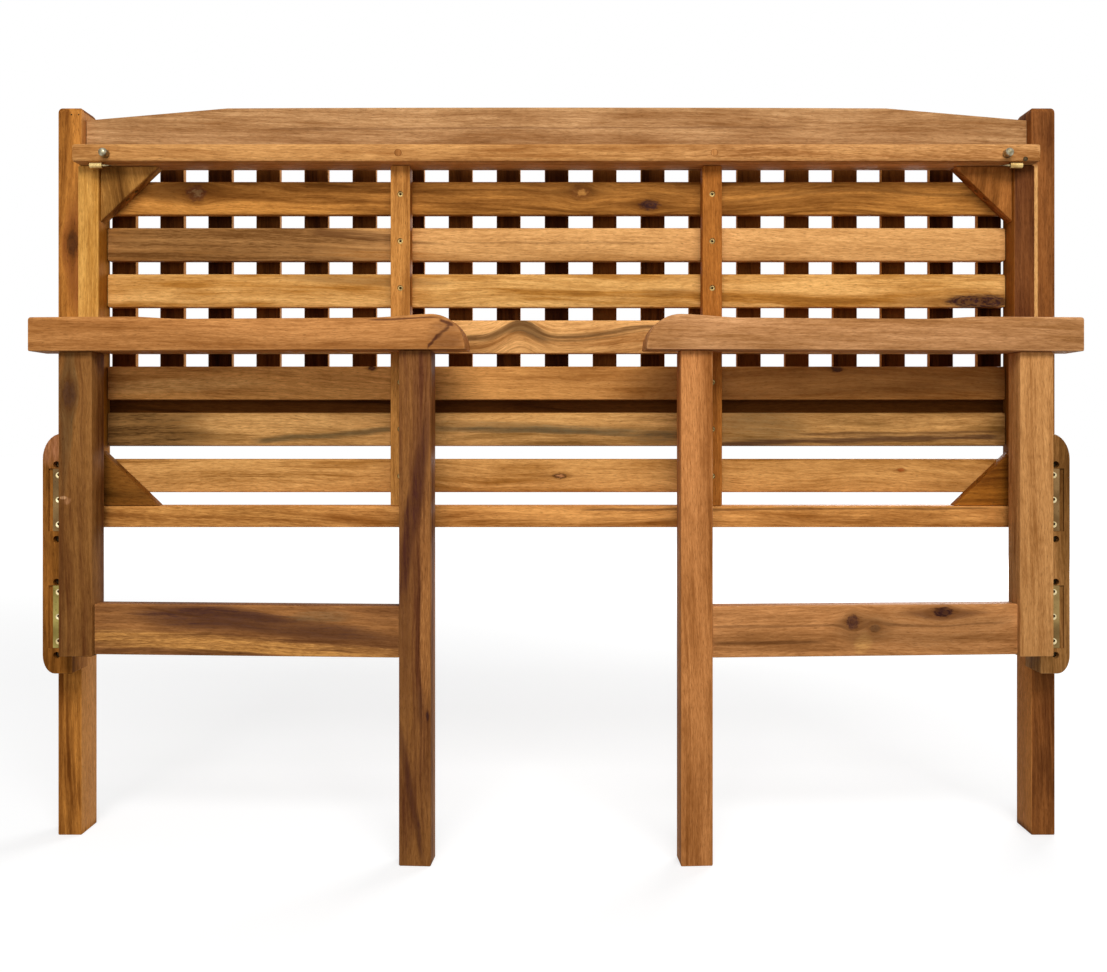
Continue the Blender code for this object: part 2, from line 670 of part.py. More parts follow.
def seat_slat_tops():
    """Give the upper edge of each seat slat: a narrow slot under the front rail, then even ones."""
    first = FRONT_RAIL_BOTTOM - SEAT_FRONT_SLOT
    pitch = (first - REAR_RAIL_TOP) / SEAT_SLAT_COUNT
    return [first - i * pitch for i in range(SEAT_SLAT_COUNT)]


def seat_slats(seat):
    end = SEAT_INNER - FIT_GAP
    for i, top in enumerate(seat_slat_tops()):
        low = (-end, FIT_GAP, top - SEAT_SLAT_WIDTH)
        high = (end, SEAT_SLAT_FRONT, top)
        box(f"seat_slat_{i + 1}", low, high, seat, "seat_slat_wood", True, SEAT_SLAT_ROUND)


def mid_support(name, side, seat):
    """Batten behind the slats, with a screw hole for each."""
    x = side * MID_SUPPORT_SPACING / 2
    half = MID_SUPPORT_WIDTH / 2
    low = (x - half, SEAT_SLAT_FRONT + FIT_GAP, REAR_RAIL_TOP + FIT_GAP)
    high = (x + half, SEAT_RAIL_FRONT, FRONT_RAIL_BOTTOM - FIT_GAP)
    support = box(f"{name}_mid_support", low, high, seat, "seat_rail_wood", True, ARRIS)
    for i, top in enumerate(seat_slat_tops()):
        hole = rod(
            f"{name}_slat_screw_hole_{i + 1}", SLAT_SCREW_DIAMETER / 2, 2 * SLAT_SCREW_DEPTH,
            (x, SEAT_RAIL_FRONT, top - SEAT_SLAT_WIDTH / 2), "forward", seat, None, True, HOLE_SIDES,
        )
        combine(support, hole, "DIFFERENCE")
    return support


def corner_block(name, side, top, seat):
    """Three-sided block in a corner of the seat, with two screw holes in its long face."""
    corner_x = SEAT_INNER - FIT_GAP
    if top:
        corner_z = FRONT_RAIL_BOTTOM - FIT_GAP
        fall = -CORNER_BLOCK_HEIGHT
    else:
        corner_z = REAR_RAIL_TOP + FIT_GAP
        fall = CORNER_BLOCK_HEIGHT
    outline = [(corner_x, corner_z), (corner_x - CORNER_BLOCK_LENGTH, corner_z)]
    outline.append((corner_x, corner_z + fall))
    if side < 0:
        outline = mirrored(outline)
    back = SEAT_SLAT_FRONT + FIT_GAP
    level = "front" if top else "rear"
    block = plate(
        f"{name}_{level}_corner_block", outline, (back, back + CORNER_BLOCK_THICKNESS), "forward", seat,
        "seat_rail_wood", True,
    )
    slope = Vector((CORNER_BLOCK_LENGTH, 0, fall)).normalized()
    inward = Vector((-slope.z, 0, slope.x)) * (1 if top else -1)
    middle = Vector((corner_x - CORNER_BLOCK_LENGTH / 2, 0, corner_z + fall / 2))
    for i in (-1, 1):
        point = middle + slope * i * CORNER_SCREW_SPACING / 2
        centre = (side * point.x, back + CORNER_BLOCK_THICKNESS / 2, point.z)
        hole = rod(
            f"{name}_{level}_corner_hole_{i + 2}", CORNER_SCREW_DIAMETER / 2, 2 * CORNER_SCREW_DEPTH, centre,
            "x", seat, None, True, HOLE_SIDES,
        )
        hole.rotation_euler.y = -math.atan2(inward.z, side * inward.x)
        combine(block, hole, "DIFFERENCE")
    return block


def lock_pin_place(side):
    return side * (SEAT_HALF_WIDTH - LOCK_PIN_INSET), FRONT_RAIL_FRONT, FRONT_RAIL_BOTTOM + LOCK_PIN_RISE


def lock_pin(name, side, seat):
    """Domed pin set in the front rail: with the seat down, it stands inside the corbel."""
    profile = dome(LOCK_PIN_RADIUS, LOCK_PIN_LENGTH, LOCK_PIN_DOME)
    profile += [(LOCK_PIN_RADIUS, -LOCK_PIN_SOCKET), (0.0, -LOCK_PIN_SOCKET)]
    return turned(f"{name}_lock_pin", profile, lock_pin_place(side), "forward", seat, "steel", True)


def stop_barrel(name, side, seat):
    """Short sleeve under the front edge of the front rail, on a pointed screw."""
    radius = STOP_BARREL_RADIUS
    outer = SEAT_HALF_WIDTH - STOP_BARREL_INSET
    place_forward = FRONT_RAIL_FRONT - radius
    place_z = FRONT_RAIL_BOTTOM - FIT_GAP - radius
    centre = (side * (outer - STOP_BARREL_LENGTH / 2), place_forward, place_z)
    barrel = rod(f"{name}_stop_barrel", radius, STOP_BARREL_LENGTH, centre, "x", seat, "brass", True)
    bore = rod(
        f"{name}_barrel_bore", STOP_SCREW_RADIUS + RUNNING_GAP, 2 * STOP_BARREL_LENGTH, centre, "x", seat,
        None, True,
    )
    combine(barrel, bore, "DIFFERENCE")
    tip = STOP_BARREL_LENGTH + STOP_SCREW_REACH
    profile = [(0.0, -STOP_SCREW_SINK), (STOP_SCREW_RADIUS, -STOP_SCREW_SINK)]
    profile += [(STOP_SCREW_RADIUS, -tip + STOP_SCREW_POINT), (0.0, -tip)]
    start = (side * outer, place_forward, place_z)
    screw = turned(f"{name}_stop_screw", profile, start, "x", seat, "steel", True)
    if side < 0:
        screw.rotation_euler.y = math.radians(-90)
    return barrel


def rear_post(name, side, frame):
    low = (-side * HINGE_STAND, FIT_GAP, REAR_POST_BOTTOM)
    high = (-side * (HINGE_STAND + REAR_POST_WIDTH), FRAME_THICKNESS, ARM_BOTTOM - FIT_GAP)
    return box(f"{name}_rear_post", low, high, frame, "frame_wood", False, ARRIS)


def front_leg(name, side, frame):
    low = (-side * FRONT_LEG_NEAR, FIT_GAP, 0.0)
    high = (-side * FRONT_LEG_FAR, FRAME_THICKNESS, ARM_BOTTOM - FIT_GAP)
    return box(f"{name}_front_leg", low, high, frame, "frame_wood", False, ARRIS)


def lower_rail(name, side, frame):
    recess = (FRAME_THICKNESS - LOWER_RAIL_THICKNESS) / 2
    bottom = REAR_POST_BOTTOM + LOWER_RAIL_RISE
    low = (-side * (HINGE_STAND + REAR_POST_WIDTH + FIT_GAP), recess, bottom)
    high = (-side * (FRONT_LEG_NEAR - FIT_GAP), recess + LOWER_RAIL_THICKNESS, bottom + LOWER_RAIL_HEIGHT)
    return box(f"{name}_lower_rail", low, high, frame, "frame_wood", False, ARRIS)


def arm(name, side, frame):
    """Shaped arm: flat at the rear, dipped along its length and rolled over at the nose."""
    top = ARM_BOTTOM + ARM_THICKNESS
    hump = (ARM_END - ARM_NOSE_LENGTH, top + ARM_HUMP)
    rise_start = (hump[0] - ARM_RISE_LENGTH, top - ARM_DIP)
    flat_end = (ARM_FLAT_LENGTH - ARM_REAR_OVERHANG, top)
    fall_end = (flat_end[0] + ARM_FALL_LENGTH, top - ARM_DIP)
    lip = ARM_LIP_RADIUS
    nose_centre = (hump[0], ARM_BOTTOM + lip)
    outline = [(-ARM_REAR_OVERHANG, ARM_BOTTOM)]
    outline += arc((ARM_END - lip, ARM_BOTTOM + lip), (lip, lip), -90, 0, ARM_LIP_STEPS)
    outline += arc(nose_centre, (ARM_NOSE_LENGTH, hump[1] - nose_centre[1]), 0, 90, ARM_NOSE_STEPS)[1:]
    outline += soft_step(hump, rise_start, ARM_CURVE_STEPS)
    outline.append(fall_end)
    outline += soft_step(fall_end, flat_end, ARM_CURVE_STEPS)
    radius = ARM_REAR_RADIUS
    outline += arc((-ARM_REAR_OVERHANG + radius, top - radius), (radius, radius), 90, 180, ARM_LIP_STEPS)
    outline = [(-side * along, up) for along, up in outline]
    span = (-ARM_INNER_OVERHANG, ARM_WIDTH - ARM_INNER_OVERHANG)
    return plate(f"{name}_arm", outline, span, "forward", frame, "arm_wood", edge=ARM_ARRIS)


def corbel(name, side, frame):
    """Bracket behind the front leg that the seat's front rail lands on."""
    top = SEAT_LANDING_Z - CORBEL_LANDING_GAP
    bottom = top - CORBEL_HEIGHT
    outline = [(0.0, bottom), (0.0, top), (-CORBEL_DEPTH, top)]
    reach = CORBEL_DEPTH - CORBEL_TOE
    outline += arc((-CORBEL_TOE, bottom + CORBEL_CURVE_HEIGHT), (reach, CORBEL_CURVE_HEIGHT), 180, 270)
    half = CORBEL_WIDTH / 2
    span = (-side * (FRONT_LEG_CENTRE - half), -side * (FRONT_LEG_CENTRE + half))
    return plate(f"{name}_corbel", outline, span, "x", frame, "frame_wood")


def side_frame(name, side):
    """Side frame on its hinge axis, standing a little ajar as in the photograph."""
    place = (side * HINGE_X, HINGE_FORWARD, 0)
    fixed = new_pivot(f"{name}_hinge_axis", place, BENCH)
    frame = new_pivot(f"{name}_side_frame_hinge", place, BENCH, side * FRAME_AJAR_DEGREES)
    block = hinge_block(name, side)
    post = rear_post(name, side, frame)
    front_leg(name, side, frame)
    lower_rail(name, side, frame)
    arm(name, side, frame)
    corbel(name, side, frame)
    for level, base in HINGE_BASES.items():
        label = f"{name}_{level}_hinge"
        leaf_mortise(f"{label}_block", block, fixed, base, side, True)
        leaf_mortise(f"{label}_post", post, frame, base, side, False)
        hinge_leaf(f"{label}_fixed_leaf", fixed, base, side, True)
        hinge_leaf(f"{label}_moving_leaf", frame, base, side, False)
        hinge_pin(f"{label}_pin", fixed, base)


def back_frame():
    for name, side in SIDES.items():
        rear_leg(name, side)
        pivot_bolt(name, side)
        pivot_washer(name, side)
    top_rail()
    back_comb()


def seat_frame():
    seat = new_pivot("seat_pivot", (0, PIVOT_FORWARD, PIVOT_Z), BENCH)
    seat_front_rail(seat)
    seat_rear_rail(seat)
    seat_slats(seat)
    for name, side in SIDES.items():
        seat_side_rail(name, side, seat)
        mid_support(name, side, seat)
        corner_block(name, side, True, seat)
        corner_block(name, side, False, seat)
        lock_pin(name, side, seat)
        stop_barrel(name, side, seat)


def centre_on_depth():
    """Move the bench so that its folded depth is centred on the origin."""
    bpy.context.view_layer.update()
    depsgraph = bpy.context.evaluated_depsgraph_get()
    depths = []
    for item in PARTS.objects:
        if item.type == "MESH":
            solid = item.evaluated_get(depsgraph)
            depths += [(solid.matrix_world @ vertex.co).y for vertex in solid.data.vertices]
    BENCH.location.y = -(min(depths) + max(depths)) / 2
    bpy.context.view_layer.update()


back_frame()
for side_name, side_sign in SIDES.items():
    side_frame(side_name, side_sign)
seat_frame()
centre_on_depth()
for item in PARTS.objects:
    if item.type == "EMPTY":
        print(item.name, [round(value, 6) for value in item.matrix_world.translation])
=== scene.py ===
"""Looks of a folding garden bench: oiled hardwood, brass hinges, soft studio light."""

import json
import math
from collections import namedtuple

import bmesh
import bpy
from mathutils import Matrix, Vector

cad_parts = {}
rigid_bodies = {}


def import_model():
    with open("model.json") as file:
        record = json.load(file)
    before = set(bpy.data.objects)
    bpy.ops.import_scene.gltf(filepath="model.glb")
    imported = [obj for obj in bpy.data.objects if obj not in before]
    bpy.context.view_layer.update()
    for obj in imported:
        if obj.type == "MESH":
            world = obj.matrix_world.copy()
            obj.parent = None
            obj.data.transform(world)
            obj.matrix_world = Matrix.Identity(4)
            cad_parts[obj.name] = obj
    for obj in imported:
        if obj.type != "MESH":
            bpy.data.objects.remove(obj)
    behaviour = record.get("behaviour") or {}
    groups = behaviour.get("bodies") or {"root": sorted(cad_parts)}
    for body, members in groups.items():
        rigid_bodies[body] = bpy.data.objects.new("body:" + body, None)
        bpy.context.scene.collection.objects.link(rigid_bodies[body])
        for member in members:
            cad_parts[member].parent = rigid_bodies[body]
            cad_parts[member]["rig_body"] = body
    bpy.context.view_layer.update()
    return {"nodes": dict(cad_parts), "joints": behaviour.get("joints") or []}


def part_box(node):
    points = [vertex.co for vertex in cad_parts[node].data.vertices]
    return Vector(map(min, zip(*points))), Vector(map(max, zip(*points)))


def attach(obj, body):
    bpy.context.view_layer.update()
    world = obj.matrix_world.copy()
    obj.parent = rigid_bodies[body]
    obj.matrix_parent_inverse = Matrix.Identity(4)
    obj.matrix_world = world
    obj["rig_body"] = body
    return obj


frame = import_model()
NODES = frame["nodes"]

MM = 0.001

# Small language for shader nodes: sockets that add, multiply and compare like numbers


class Tree:
    """A node tree with short names for the nodes that the materials use."""

    def __init__(self, tree):
        self.nodes = tree.nodes
        self.link = tree.links.new

    def add(self, kind, **settings):
        """A new node with some of its settings."""
        node = self.nodes.new(kind)
        for name, value in settings.items():
            setattr(node, name, value)
        return node

    def feed(self, socket, value):
        """Gives an input a field, or one value all over."""
        if isinstance(value, Field):
            self.link(value.socket, socket)
        else:
            socket.default_value = value

    def math(self, operation, *values):
        """The result of a Math node."""
        node = self.add("ShaderNodeMath", operation=operation)
        for socket, value in zip(node.inputs, values):
            self.feed(socket, value)
        return Field(self, node.outputs[0])

    def vector(self, x, y, z):
        """Three fields as one vector."""
        node = self.add("ShaderNodeCombineXYZ")
        for socket, value in zip(node.inputs, (x, y, z)):
            self.feed(socket, value)
        return Field(self, node.outputs[0])

    def split(self, socket):
        """The three numbers of a vector socket."""
        node = self.add("ShaderNodeSeparateXYZ")
        self.link(socket, node.inputs[0])
        return [Field(self, output) for output in node.outputs]

    def place(self):
        """The socket of the place on the surface, in metres."""
        return self.add("ShaderNodeTexCoord").outputs["Object"]

    def noise(self, vector, detail=2.0, roughness=0.5):
        """Noise from 0 to 1 with its middle at 0.5."""
        node = self.add("ShaderNodeTexNoise", noise_dimensions="3D")
        self.feed(node.inputs["Vector"], vector)
        node.inputs["Scale"].default_value = 1.0
        node.inputs["Detail"].default_value = detail
        node.inputs["Roughness"].default_value = roughness
        return Field(self, node.outputs["Fac"])

    def ramp(self, value, stops):
        """A colour for each value, from stops of (value, colour)."""
        node = self.add("ShaderNodeValToRGB")
        self.feed(node.inputs[0], value)
        elements = node.color_ramp.elements
        for i, (place, colour) in enumerate(stops):
            element = elements[i] if i < 2 else elements.new(place)
            element.position = place
            element.color = (*colour, 1.0)
        return Field(self, node.outputs[0])

    def step(self, value, low, high):
        """0 below low, 1 above high, smooth between; low may be above high."""
        node = self.add("ShaderNodeMapRange", interpolation_type="SMOOTHSTEP")
        self.feed(node.inputs["Value"], value)
        node.inputs["From Min"].default_value = min(low, high)
        node.inputs["From Max"].default_value = max(low, high)
        node.inputs["To Min"].default_value = 0.0 if low < high else 1.0
        node.inputs["To Max"].default_value = 1.0 if low < high else 0.0
        return Field(self, node.outputs["Result"])

    def mix(self, share, first, second, blend="MIX"):
        """Mixes two colours, given as fields or as red, green, blue."""
        node = self.add("ShaderNodeMix", data_type="RGBA", blend_type=blend)
        self.feed(node.inputs[0], share)
        for socket, value in ((node.inputs[6], first), (node.inputs[7], second)):
            self.feed(socket, value if isinstance(value, Field) else (*value, 1.0))
        return Field(self, node.outputs[2])


class Field:
    """A socket that carries a number or a colour over the surface."""

    def __init__(self, tree, socket):
        self.tree = tree
        self.socket = socket

    def __add__(self, other):
        return self.tree.math("ADD", self, other)

    def __sub__(self, other):
        return self.tree.math("SUBTRACT", self, other)

    def __rsub__(self, other):
        return self.tree.math("SUBTRACT", other, self)

    def __mul__(self, other):
        return self.tree.math("MULTIPLY", self, other)

    def __truediv__(self, other):
        return self.tree.math("DIVIDE", self, other)

    def power(self, exponent):
        return self.tree.math("POWER", self, exponent)

    def size(self):
        """The value without its sign."""
        return self.tree.math("ABSOLUTE", self)

    def decay(self, rate=1.0):
        """1 at 0, falling towards 0 as the value grows."""
        return self.tree.math("EXPONENT", self * -rate)

    def clipped(self, low=0.0, high=1.0):
        return self.tree.math("MAXIMUM", self.tree.math("MINIMUM", self, high), low)

    __radd__ = __add__
    __rmul__ = __mul__


def new_material(name):
    """An empty node material and its tree."""
    material = bpy.data.materials.new(name)
    material.use_nodes = True
    material.node_tree.nodes.clear()
    return material, Tree(material.node_tree)


def finish_material(tree, colour, roughness, height, bump, metallic=0.0, specular=0.5):
    """Joins the fields to a Principled shader with a bump of that height in metres."""
    shader = tree.add("ShaderNodeBsdfPrincipled")
    shader.inputs["Metallic"].default_value = metallic
    shader.inputs["Specular IOR Level"].default_value = specular
    tree.feed(shader.inputs["Base Color"], colour)
    tree.feed(shader.inputs["Roughness"], roughness)
    node = tree.add("ShaderNodeBump")
    node.inputs["Strength"].default_value = 1.0
    node.inputs["Distance"].default_value = bump
    tree.feed(node.inputs["Height"], height)
    tree.link(node.outputs["Normal"], shader.inputs["Normal"])
    output = tree.add("ShaderNodeOutputMaterial")
    tree.link(shader.outputs[0], output.inputs[0])


def srgb(red, green, blue):
    """A screen colour from 0 to 255 as the linear colour of the shaders."""

    def linear(value):
        share = value / 255.0
        if share <= 0.04045:
            return share / 12.92
        return ((share + 0.055) / 1.055) ** 2.4

    return linear(red), linear(green), linear(blue)


TINT_POWERS = (1.0, 1.2, 1.45)


def tinted(tone, share):
    """A tone made lighter or darker, with the darker ones redder."""
    return tuple(min(1.0, part * share ** power) for part, power in zip(tone, TINT_POWERS))


# Boards: their own axes, also where a side frame stands ajar

FRAME_AJAR = math.radians(3.3)
HINGE_AXES = {joint["child"]: Vector(joint["pos_m"]) for joint in frame["joints"]}
TURNS = {"left_side_frame": FRAME_AJAR, "right_side_frame": -FRAME_AJAR}


def board_turn(node):
    """The axis and the angle that lay a node's boards along the world's axes."""
    body = NODES[node]["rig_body"]
    return HINGE_AXES.get(body, Vector()), TURNS.get(body, 0.0)


def corners_of(points):
    """Lowest and highest corner of some points."""
    low = Vector([min(point[axis] for point in points) for axis in range(3)])
    high = Vector([max(point[axis] for point in points) for axis in range(3)])
    return low, high


def board_box(node):
    """Lowest and highest corner of a node in its boards' own axes."""
    centre, angle = board_turn(node)
    turn = Matrix.Rotation(angle, 3, "Z")
    return corners_of([turn @ (vertex.co - centre) + centre for vertex in NODES[node].data.vertices])


def board_axes(tree, node):
    """Fields of the place in the board's own axes, in metres."""
    centre, angle = board_turn(node)
    spin = tree.add("ShaderNodeVectorRotate", rotation_type="Z_AXIS")
    tree.link(tree.place(), spin.inputs["Vector"])
    spin.inputs["Center"].default_value = centre
    spin.inputs["Angle"].default_value = angle
    return tree.split(spin.outputs[0])


# Marks of a board, in metres in its own axes; a share is how strongly the tone covers

Knot = namedtuple("Knot", "along across half_length half_height tone eye", defaults=(None,))
Wave = namedtuple("Wave", "along half_length rise")
Patch = namedtuple("Patch", "along across half_length half_height slope tone share")
Line = namedtuple("Line", "start end across slope half_height tone share")
Stripe = namedtuple("Stripe", "start end across half_width tone share")
Comb = namedtuple("Comb", "width pitch rail_top flank")

# Wood: growth rings round a pith that lies off the board, pushed aside by knots

# The axes along and across a board, for each axis that its grain may follow
GRAIN_AXES = {"x": (0, 2), "z": (2, 0)}
DEEP_AXIS = 1

# Where the pith lies from the board's middle, across and deep, and the grain's rise along the board
PITH = (0.035, 0.05)
GRAIN_TILT = 0.02

# The grain's wander: density along and across the board, and its reach in metres
SLOW_ALONG = 2.4
SLOW_ACROSS = 8.0
SLOW_REACH = 0.036
QUICK_ALONG = 11.0
QUICK_ACROSS = 34.0
QUICK_REACH = 0.006
LAID_REACH = 0.005

# Rings: density over the distance from the pith, drift along the board, detail, turn of the seed
BROAD_RINGS = (60.0, 0.8, 2.0, 3.7)
BAND_RINGS = (220.0, 3.2, 3.0, 5.3)
LINE_RINGS = (900.0, 9.0, 2.0, 7.1)
RING_SEED = 1.9

# Threads: density along the board, density across it, detail
CLOUDS = (8.0, 42.0, 2.0)
FIBRES = (95.0, 950.0, 3.0)
STRANDS = (14.0, 285.0, 2.0)
MOTTLE = (60.0, 120.0, 2.0)
PORES = (150.0, 2100.0, 1.0)
PORE_EDGE = (0.1, 0.22)
NOISE_ROUGHNESS = 0.6

# A knot: its pull on the grain, its ragged outline, and the dark wings beside it in its half sizes
KNOT_PULL = 0.85
KNOT_PULL_DECAY = 0.2
KNOT_RAGGED = 3.4
KNOT_RAGGED_ALONG = 1.3
KNOT_RAGGED_ACROSS = 1.9
KNOT_SEED = 9.0
WING_LENGTH = 2.8
WING_HEIGHT = 0.6

# The comb: the soft edges of its flanks and rail, and what sets one slat's wood apart from the next
FLANK_EDGE = (0.6 * MM, 0.2 * MM)
RAIL_EDGE = 0.1 * MM
STAVE_SHIFT_ALONG = 0.83
STAVE_SHIFT_ACROSS = 0.37
STAVE_STEP = 12.9
STAVE_START = 2.0
STAVE_SPREAD = 437.5


def oval(along, across, half_length, half_height):
    """Squared distance from an oval's middle, 1 on its edge."""
    return (along / half_length).power(2.0) + (across / half_height).power(2.0)


class KnotFields:
    """Fields of a knot: distance from its middle, the same with a ragged outline, and its wings."""

    def __init__(self, board, knot):
        along = board.along - knot.along
        across = board.across - knot.across
        self.knot = knot
        self.far = oval(along, across, knot.half_length, knot.half_height)
        ragged_along = along * (KNOT_RAGGED_ALONG / knot.half_length)
        ragged_across = across * (KNOT_RAGGED_ACROSS / knot.half_height)
        ragged_place = board.tree.vector(ragged_along, ragged_across, board.seed + knot.along * KNOT_SEED)
        ragged = board.tree.noise(ragged_place, detail=4.0, roughness=0.65) - 0.5
        self.rough = self.far + ragged * KNOT_RAGGED
        wing = oval(along, across, WING_LENGTH * knot.half_length, WING_HEIGHT * knot.half_height)
        self.wing = wing.decay()


class Board:
    """Fields of one board: its axes, its grain and the layers of its figure.

    flow is the place across the wandering grain, and laid the same without the slow wander,
    so that marks stay where they are put. The layers are noise round 0.
    """

    def __init__(self, tree, node, grain, look):
        self.tree = tree
        self.seed = sum(ord(letter) * (i + 1) for i, letter in enumerate(node)) % 97
        self.axes = board_axes(tree, node)
        self.low, self.high = board_box(node)
        middle = (self.low + self.high) / 2
        along_axis, across_axis = GRAIN_AXES[grain]
        self.along = self.axes[along_axis]
        self.across = self.axes[across_axis]
        self.deep = self.axes[DEEP_AXIS]
        self.comb = look.get("comb")
        if self.comb:
            self.part_slats()
        self.knots = [KnotFields(self, knot) for knot in look.get("knots", ())]
        self.laid, flow = self.grain_flow(look)
        self.flow = flow + (self.along - middle[along_axis]) * look.get("tilt", GRAIN_TILT)

        pith_across, pith_deep = look.get("pith", PITH)
        from_pith = self.flow - (middle[across_axis] + pith_across)
        deep_pith = self.deep - (middle[DEEP_AXIS] + pith_deep)
        self.radius = (from_pith.power(2.0) + deep_pith.power(2.0)).power(0.5)

        self.broad = self.rings(*BROAD_RINGS)
        self.bands = self.rings(*BAND_RINGS)
        self.lines = self.rings(*LINE_RINGS)
        self.clouds = self.threads(*CLOUDS)
        self.fibres = self.threads(*FIBRES)
        self.strands = self.threads(*STRANDS)
        self.mottle = self.threads(*MOTTLE)
        self.pores = tree.step(self.threads(*PORES), *PORE_EDGE)

    def part_slats(self):
        """Makes upright slats, each from another board, over a level rail."""
        tree, comb = self.tree, self.comb
        number = tree.math("FLOOR", self.across / comb.pitch + 0.5)
        rail = tree.step(self.along, comb.rail_top + RAIL_EDGE, comb.rail_top)
        slat = 1.0 - rail
        off = (self.across - number * comb.pitch).size()
        outer, inner = FLANK_EDGE
        self.flank = tree.step(off, comb.width / 2 - outer, comb.width / 2 - inner) * slat
        sine = tree.math("SINE", number * STAVE_STEP + STAVE_START)
        self.stave = tree.math("FRACT", sine * STAVE_SPREAD) * slat
        upright_along = self.along + number * STAVE_SHIFT_ALONG
        upright_across = self.across + number * STAVE_SHIFT_ACROSS
        along = upright_along * slat + self.across * rail
        across = upright_across * slat + self.along * rail
        self.along, self.across = along, across

    def grain_flow(self, look):
        """The place across the grain, without and with its slow wander."""
        tree = self.tree
        flow = self.across
        for fields in self.knots:
            off = self.across - fields.knot.across
            flow = flow - off * fields.far.decay(KNOT_PULL_DECAY) * KNOT_PULL
        for wave in look.get("waves", ()):
            far = ((self.along - wave.along) / wave.half_length).power(2.0)
            flow = flow - far.decay() * wave.rise
        wander = look.get("wander", 1.0)
        slow_place = tree.vector(
            self.along * SLOW_ALONG + self.seed, flow * SLOW_ACROSS, self.deep * SLOW_ACROSS)
        slow = tree.noise(slow_place, detail=1.0) - 0.5
        quick_place = tree.vector(
            self.along * QUICK_ALONG, flow * QUICK_ACROSS + self.seed, self.deep * QUICK_ACROSS)
        quick = tree.noise(quick_place) - 0.5
        laid = flow + quick * (LAID_REACH * wander)
        return laid, flow + slow * (SLOW_REACH * wander) + quick * (QUICK_REACH * wander)

    def rings(self, density, drift, detail, turn):
        """Noise over the distance from the pith, drawn out along the board."""
        drawn = self.along * drift + self.seed * turn
        place = self.tree.vector(self.radius * density, drawn, self.seed * RING_SEED)
        return self.tree.noise(place, detail=detail, roughness=NOISE_ROUGHNESS) - 0.5

    def threads(self, length, density, detail):
        """Noise of thin threads along the grain."""
        place = self.tree.vector(self.along * length, self.flow * density, self.deep * density)
        return self.tree.noise(place, detail=detail, roughness=NOISE_ROUGHNESS) - 0.5

    def between(self, start, end, fade):
        """1 from start to end along the board, faded inside both."""
        return self.tree.step(self.along, start, start + fade) * self.tree.step(self.along, end, end - fade)

    def near_edge(self):
        """Distance to the nearest of the board's long edges, as the box has them."""
        reach = []
        for axis in range(3):
            half = (self.high[axis] - self.low[axis]) / 2
            middle = (self.high[axis] + self.low[axis]) / 2
            reach.append(half - (self.axes[axis] - middle).size())
        longest = self.tree.math("MAXIMUM", self.tree.math("MAXIMUM", reach[0], reach[1]), reach[2])
        return reach[0] + reach[1] + reach[2] - longest


# How far each layer moves the tone from light to dark
BROAD_TONE = 1.15
BAND_TONE = 0.6
CLOUD_TONE = 0.8
STRAND_TONE = 0.5
STAVE_TONE = 0.5

# The palest and the darkest tone, as shares of the light and the dark one
PALE = 1.1
HEART = 0.42


def main_tones(board, light, dark, figure):
    """The board's tones from light to dark, by its rings, clouds and strands."""
    share = board.broad * (BROAD_TONE * figure) + board.bands * (BAND_TONE * figure)
    share = share + board.clouds * (CLOUD_TONE * figure) + board.strands * STRAND_TONE + 0.5
    if board.comb:
        share = share + (board.stave - 0.5) * STAVE_TONE
    return board.tree.ramp(share, [
        (0.06, tinted(light, PALE)),
        (0.34, light),
        (0.68, dark),
        (0.98, tinted(dark, HEART)),
    ])


PATCH_STRANDS = 2.2
PATCH_BANDS = 2.0
PATCH_CLOUDS = 1.2
PATCH_EDGE = (2.0, 0.1)
PATCH_STRENGTH = 1.8


def add_patches(board, colour, patches):
    """Soft patches of another tone, ragged along the grain."""
    tree = board.tree
    for patch in patches:
        along = board.along - patch.along
        level = board.laid - along * patch.slope - patch.across
        far = oval(along, level, patch.half_length, patch.half_height)
        far = far + board.strands * PATCH_STRANDS + board.bands * PATCH_BANDS + board.clouds * PATCH_CLOUDS
        inside = tree.step(far, *PATCH_EDGE) * (0.5 - board.bands - board.fibres).clipped()
        colour = tree.mix(inside * (patch.share * PATCH_STRENGTH), colour, patch.tone)
    return colour


LINE_RAGGED = 2.4
LINE_EDGE = (1.5, 0.2)
LINE_FADE = 0.025
LINE_FADE_SHARE = 1 / 6


def add_lines(board, colour, lines):
    """Thin lines of another tone, broken by the grain's strands."""
    tree = board.tree
    for line in lines:
        level = board.laid - (board.along - line.start) * line.slope - line.across
        ragged = (board.strands + board.bands) * (line.half_height * LINE_RAGGED)
        outer, inner = [line.half_height * edge for edge in LINE_EDGE]
        near = tree.step(level.size() + ragged, outer, inner)
        fade = min(LINE_FADE, (line.end - line.start) * LINE_FADE_SHARE)
        colour = tree.mix(near * board.between(line.start, line.end, fade) * line.share, colour, line.tone)
    return colour


STRIPE_RAGGED = 0.4
STRIPE_EDGE = (1.25, 0.75)
STRIPE_FADE = 0.01


def add_stripes(board, colour, stripes):
    """Straight stripes of another tone, such as a light edge, or a darker side face that is painted shade.
    """
    tree = board.tree
    for stripe in stripes:
        off = (board.across - stripe.across + board.strands * (stripe.half_width * STRIPE_RAGGED)).size()
        outer, inner = [stripe.half_width * edge for edge in STRIPE_EDGE]
        near = tree.step(off, outer, inner)
        colour = tree.mix(near * board.between(stripe.start, stripe.end, STRIPE_FADE) * stripe.share, colour, stripe.tone)
    return colour


HALO_EDGE = (4.5, 0.8)
CORE_EDGE = (1.8, 0.5)
EYE_EDGE = (0.6, 0.0)
KNOT_TURNS = 3.2
KNOT_TURN_DENSITY = 160.0
KNOT_TURN_EDGE = (0.4, 0.6)
KNOT_TURN_SHARE = 0.28
WING_SHARE = 0.7
WING_TONE = 0.5
HALO_SHARE = 0.5
HALO_TONE = 0.7
EYE_SHARE = 0.8


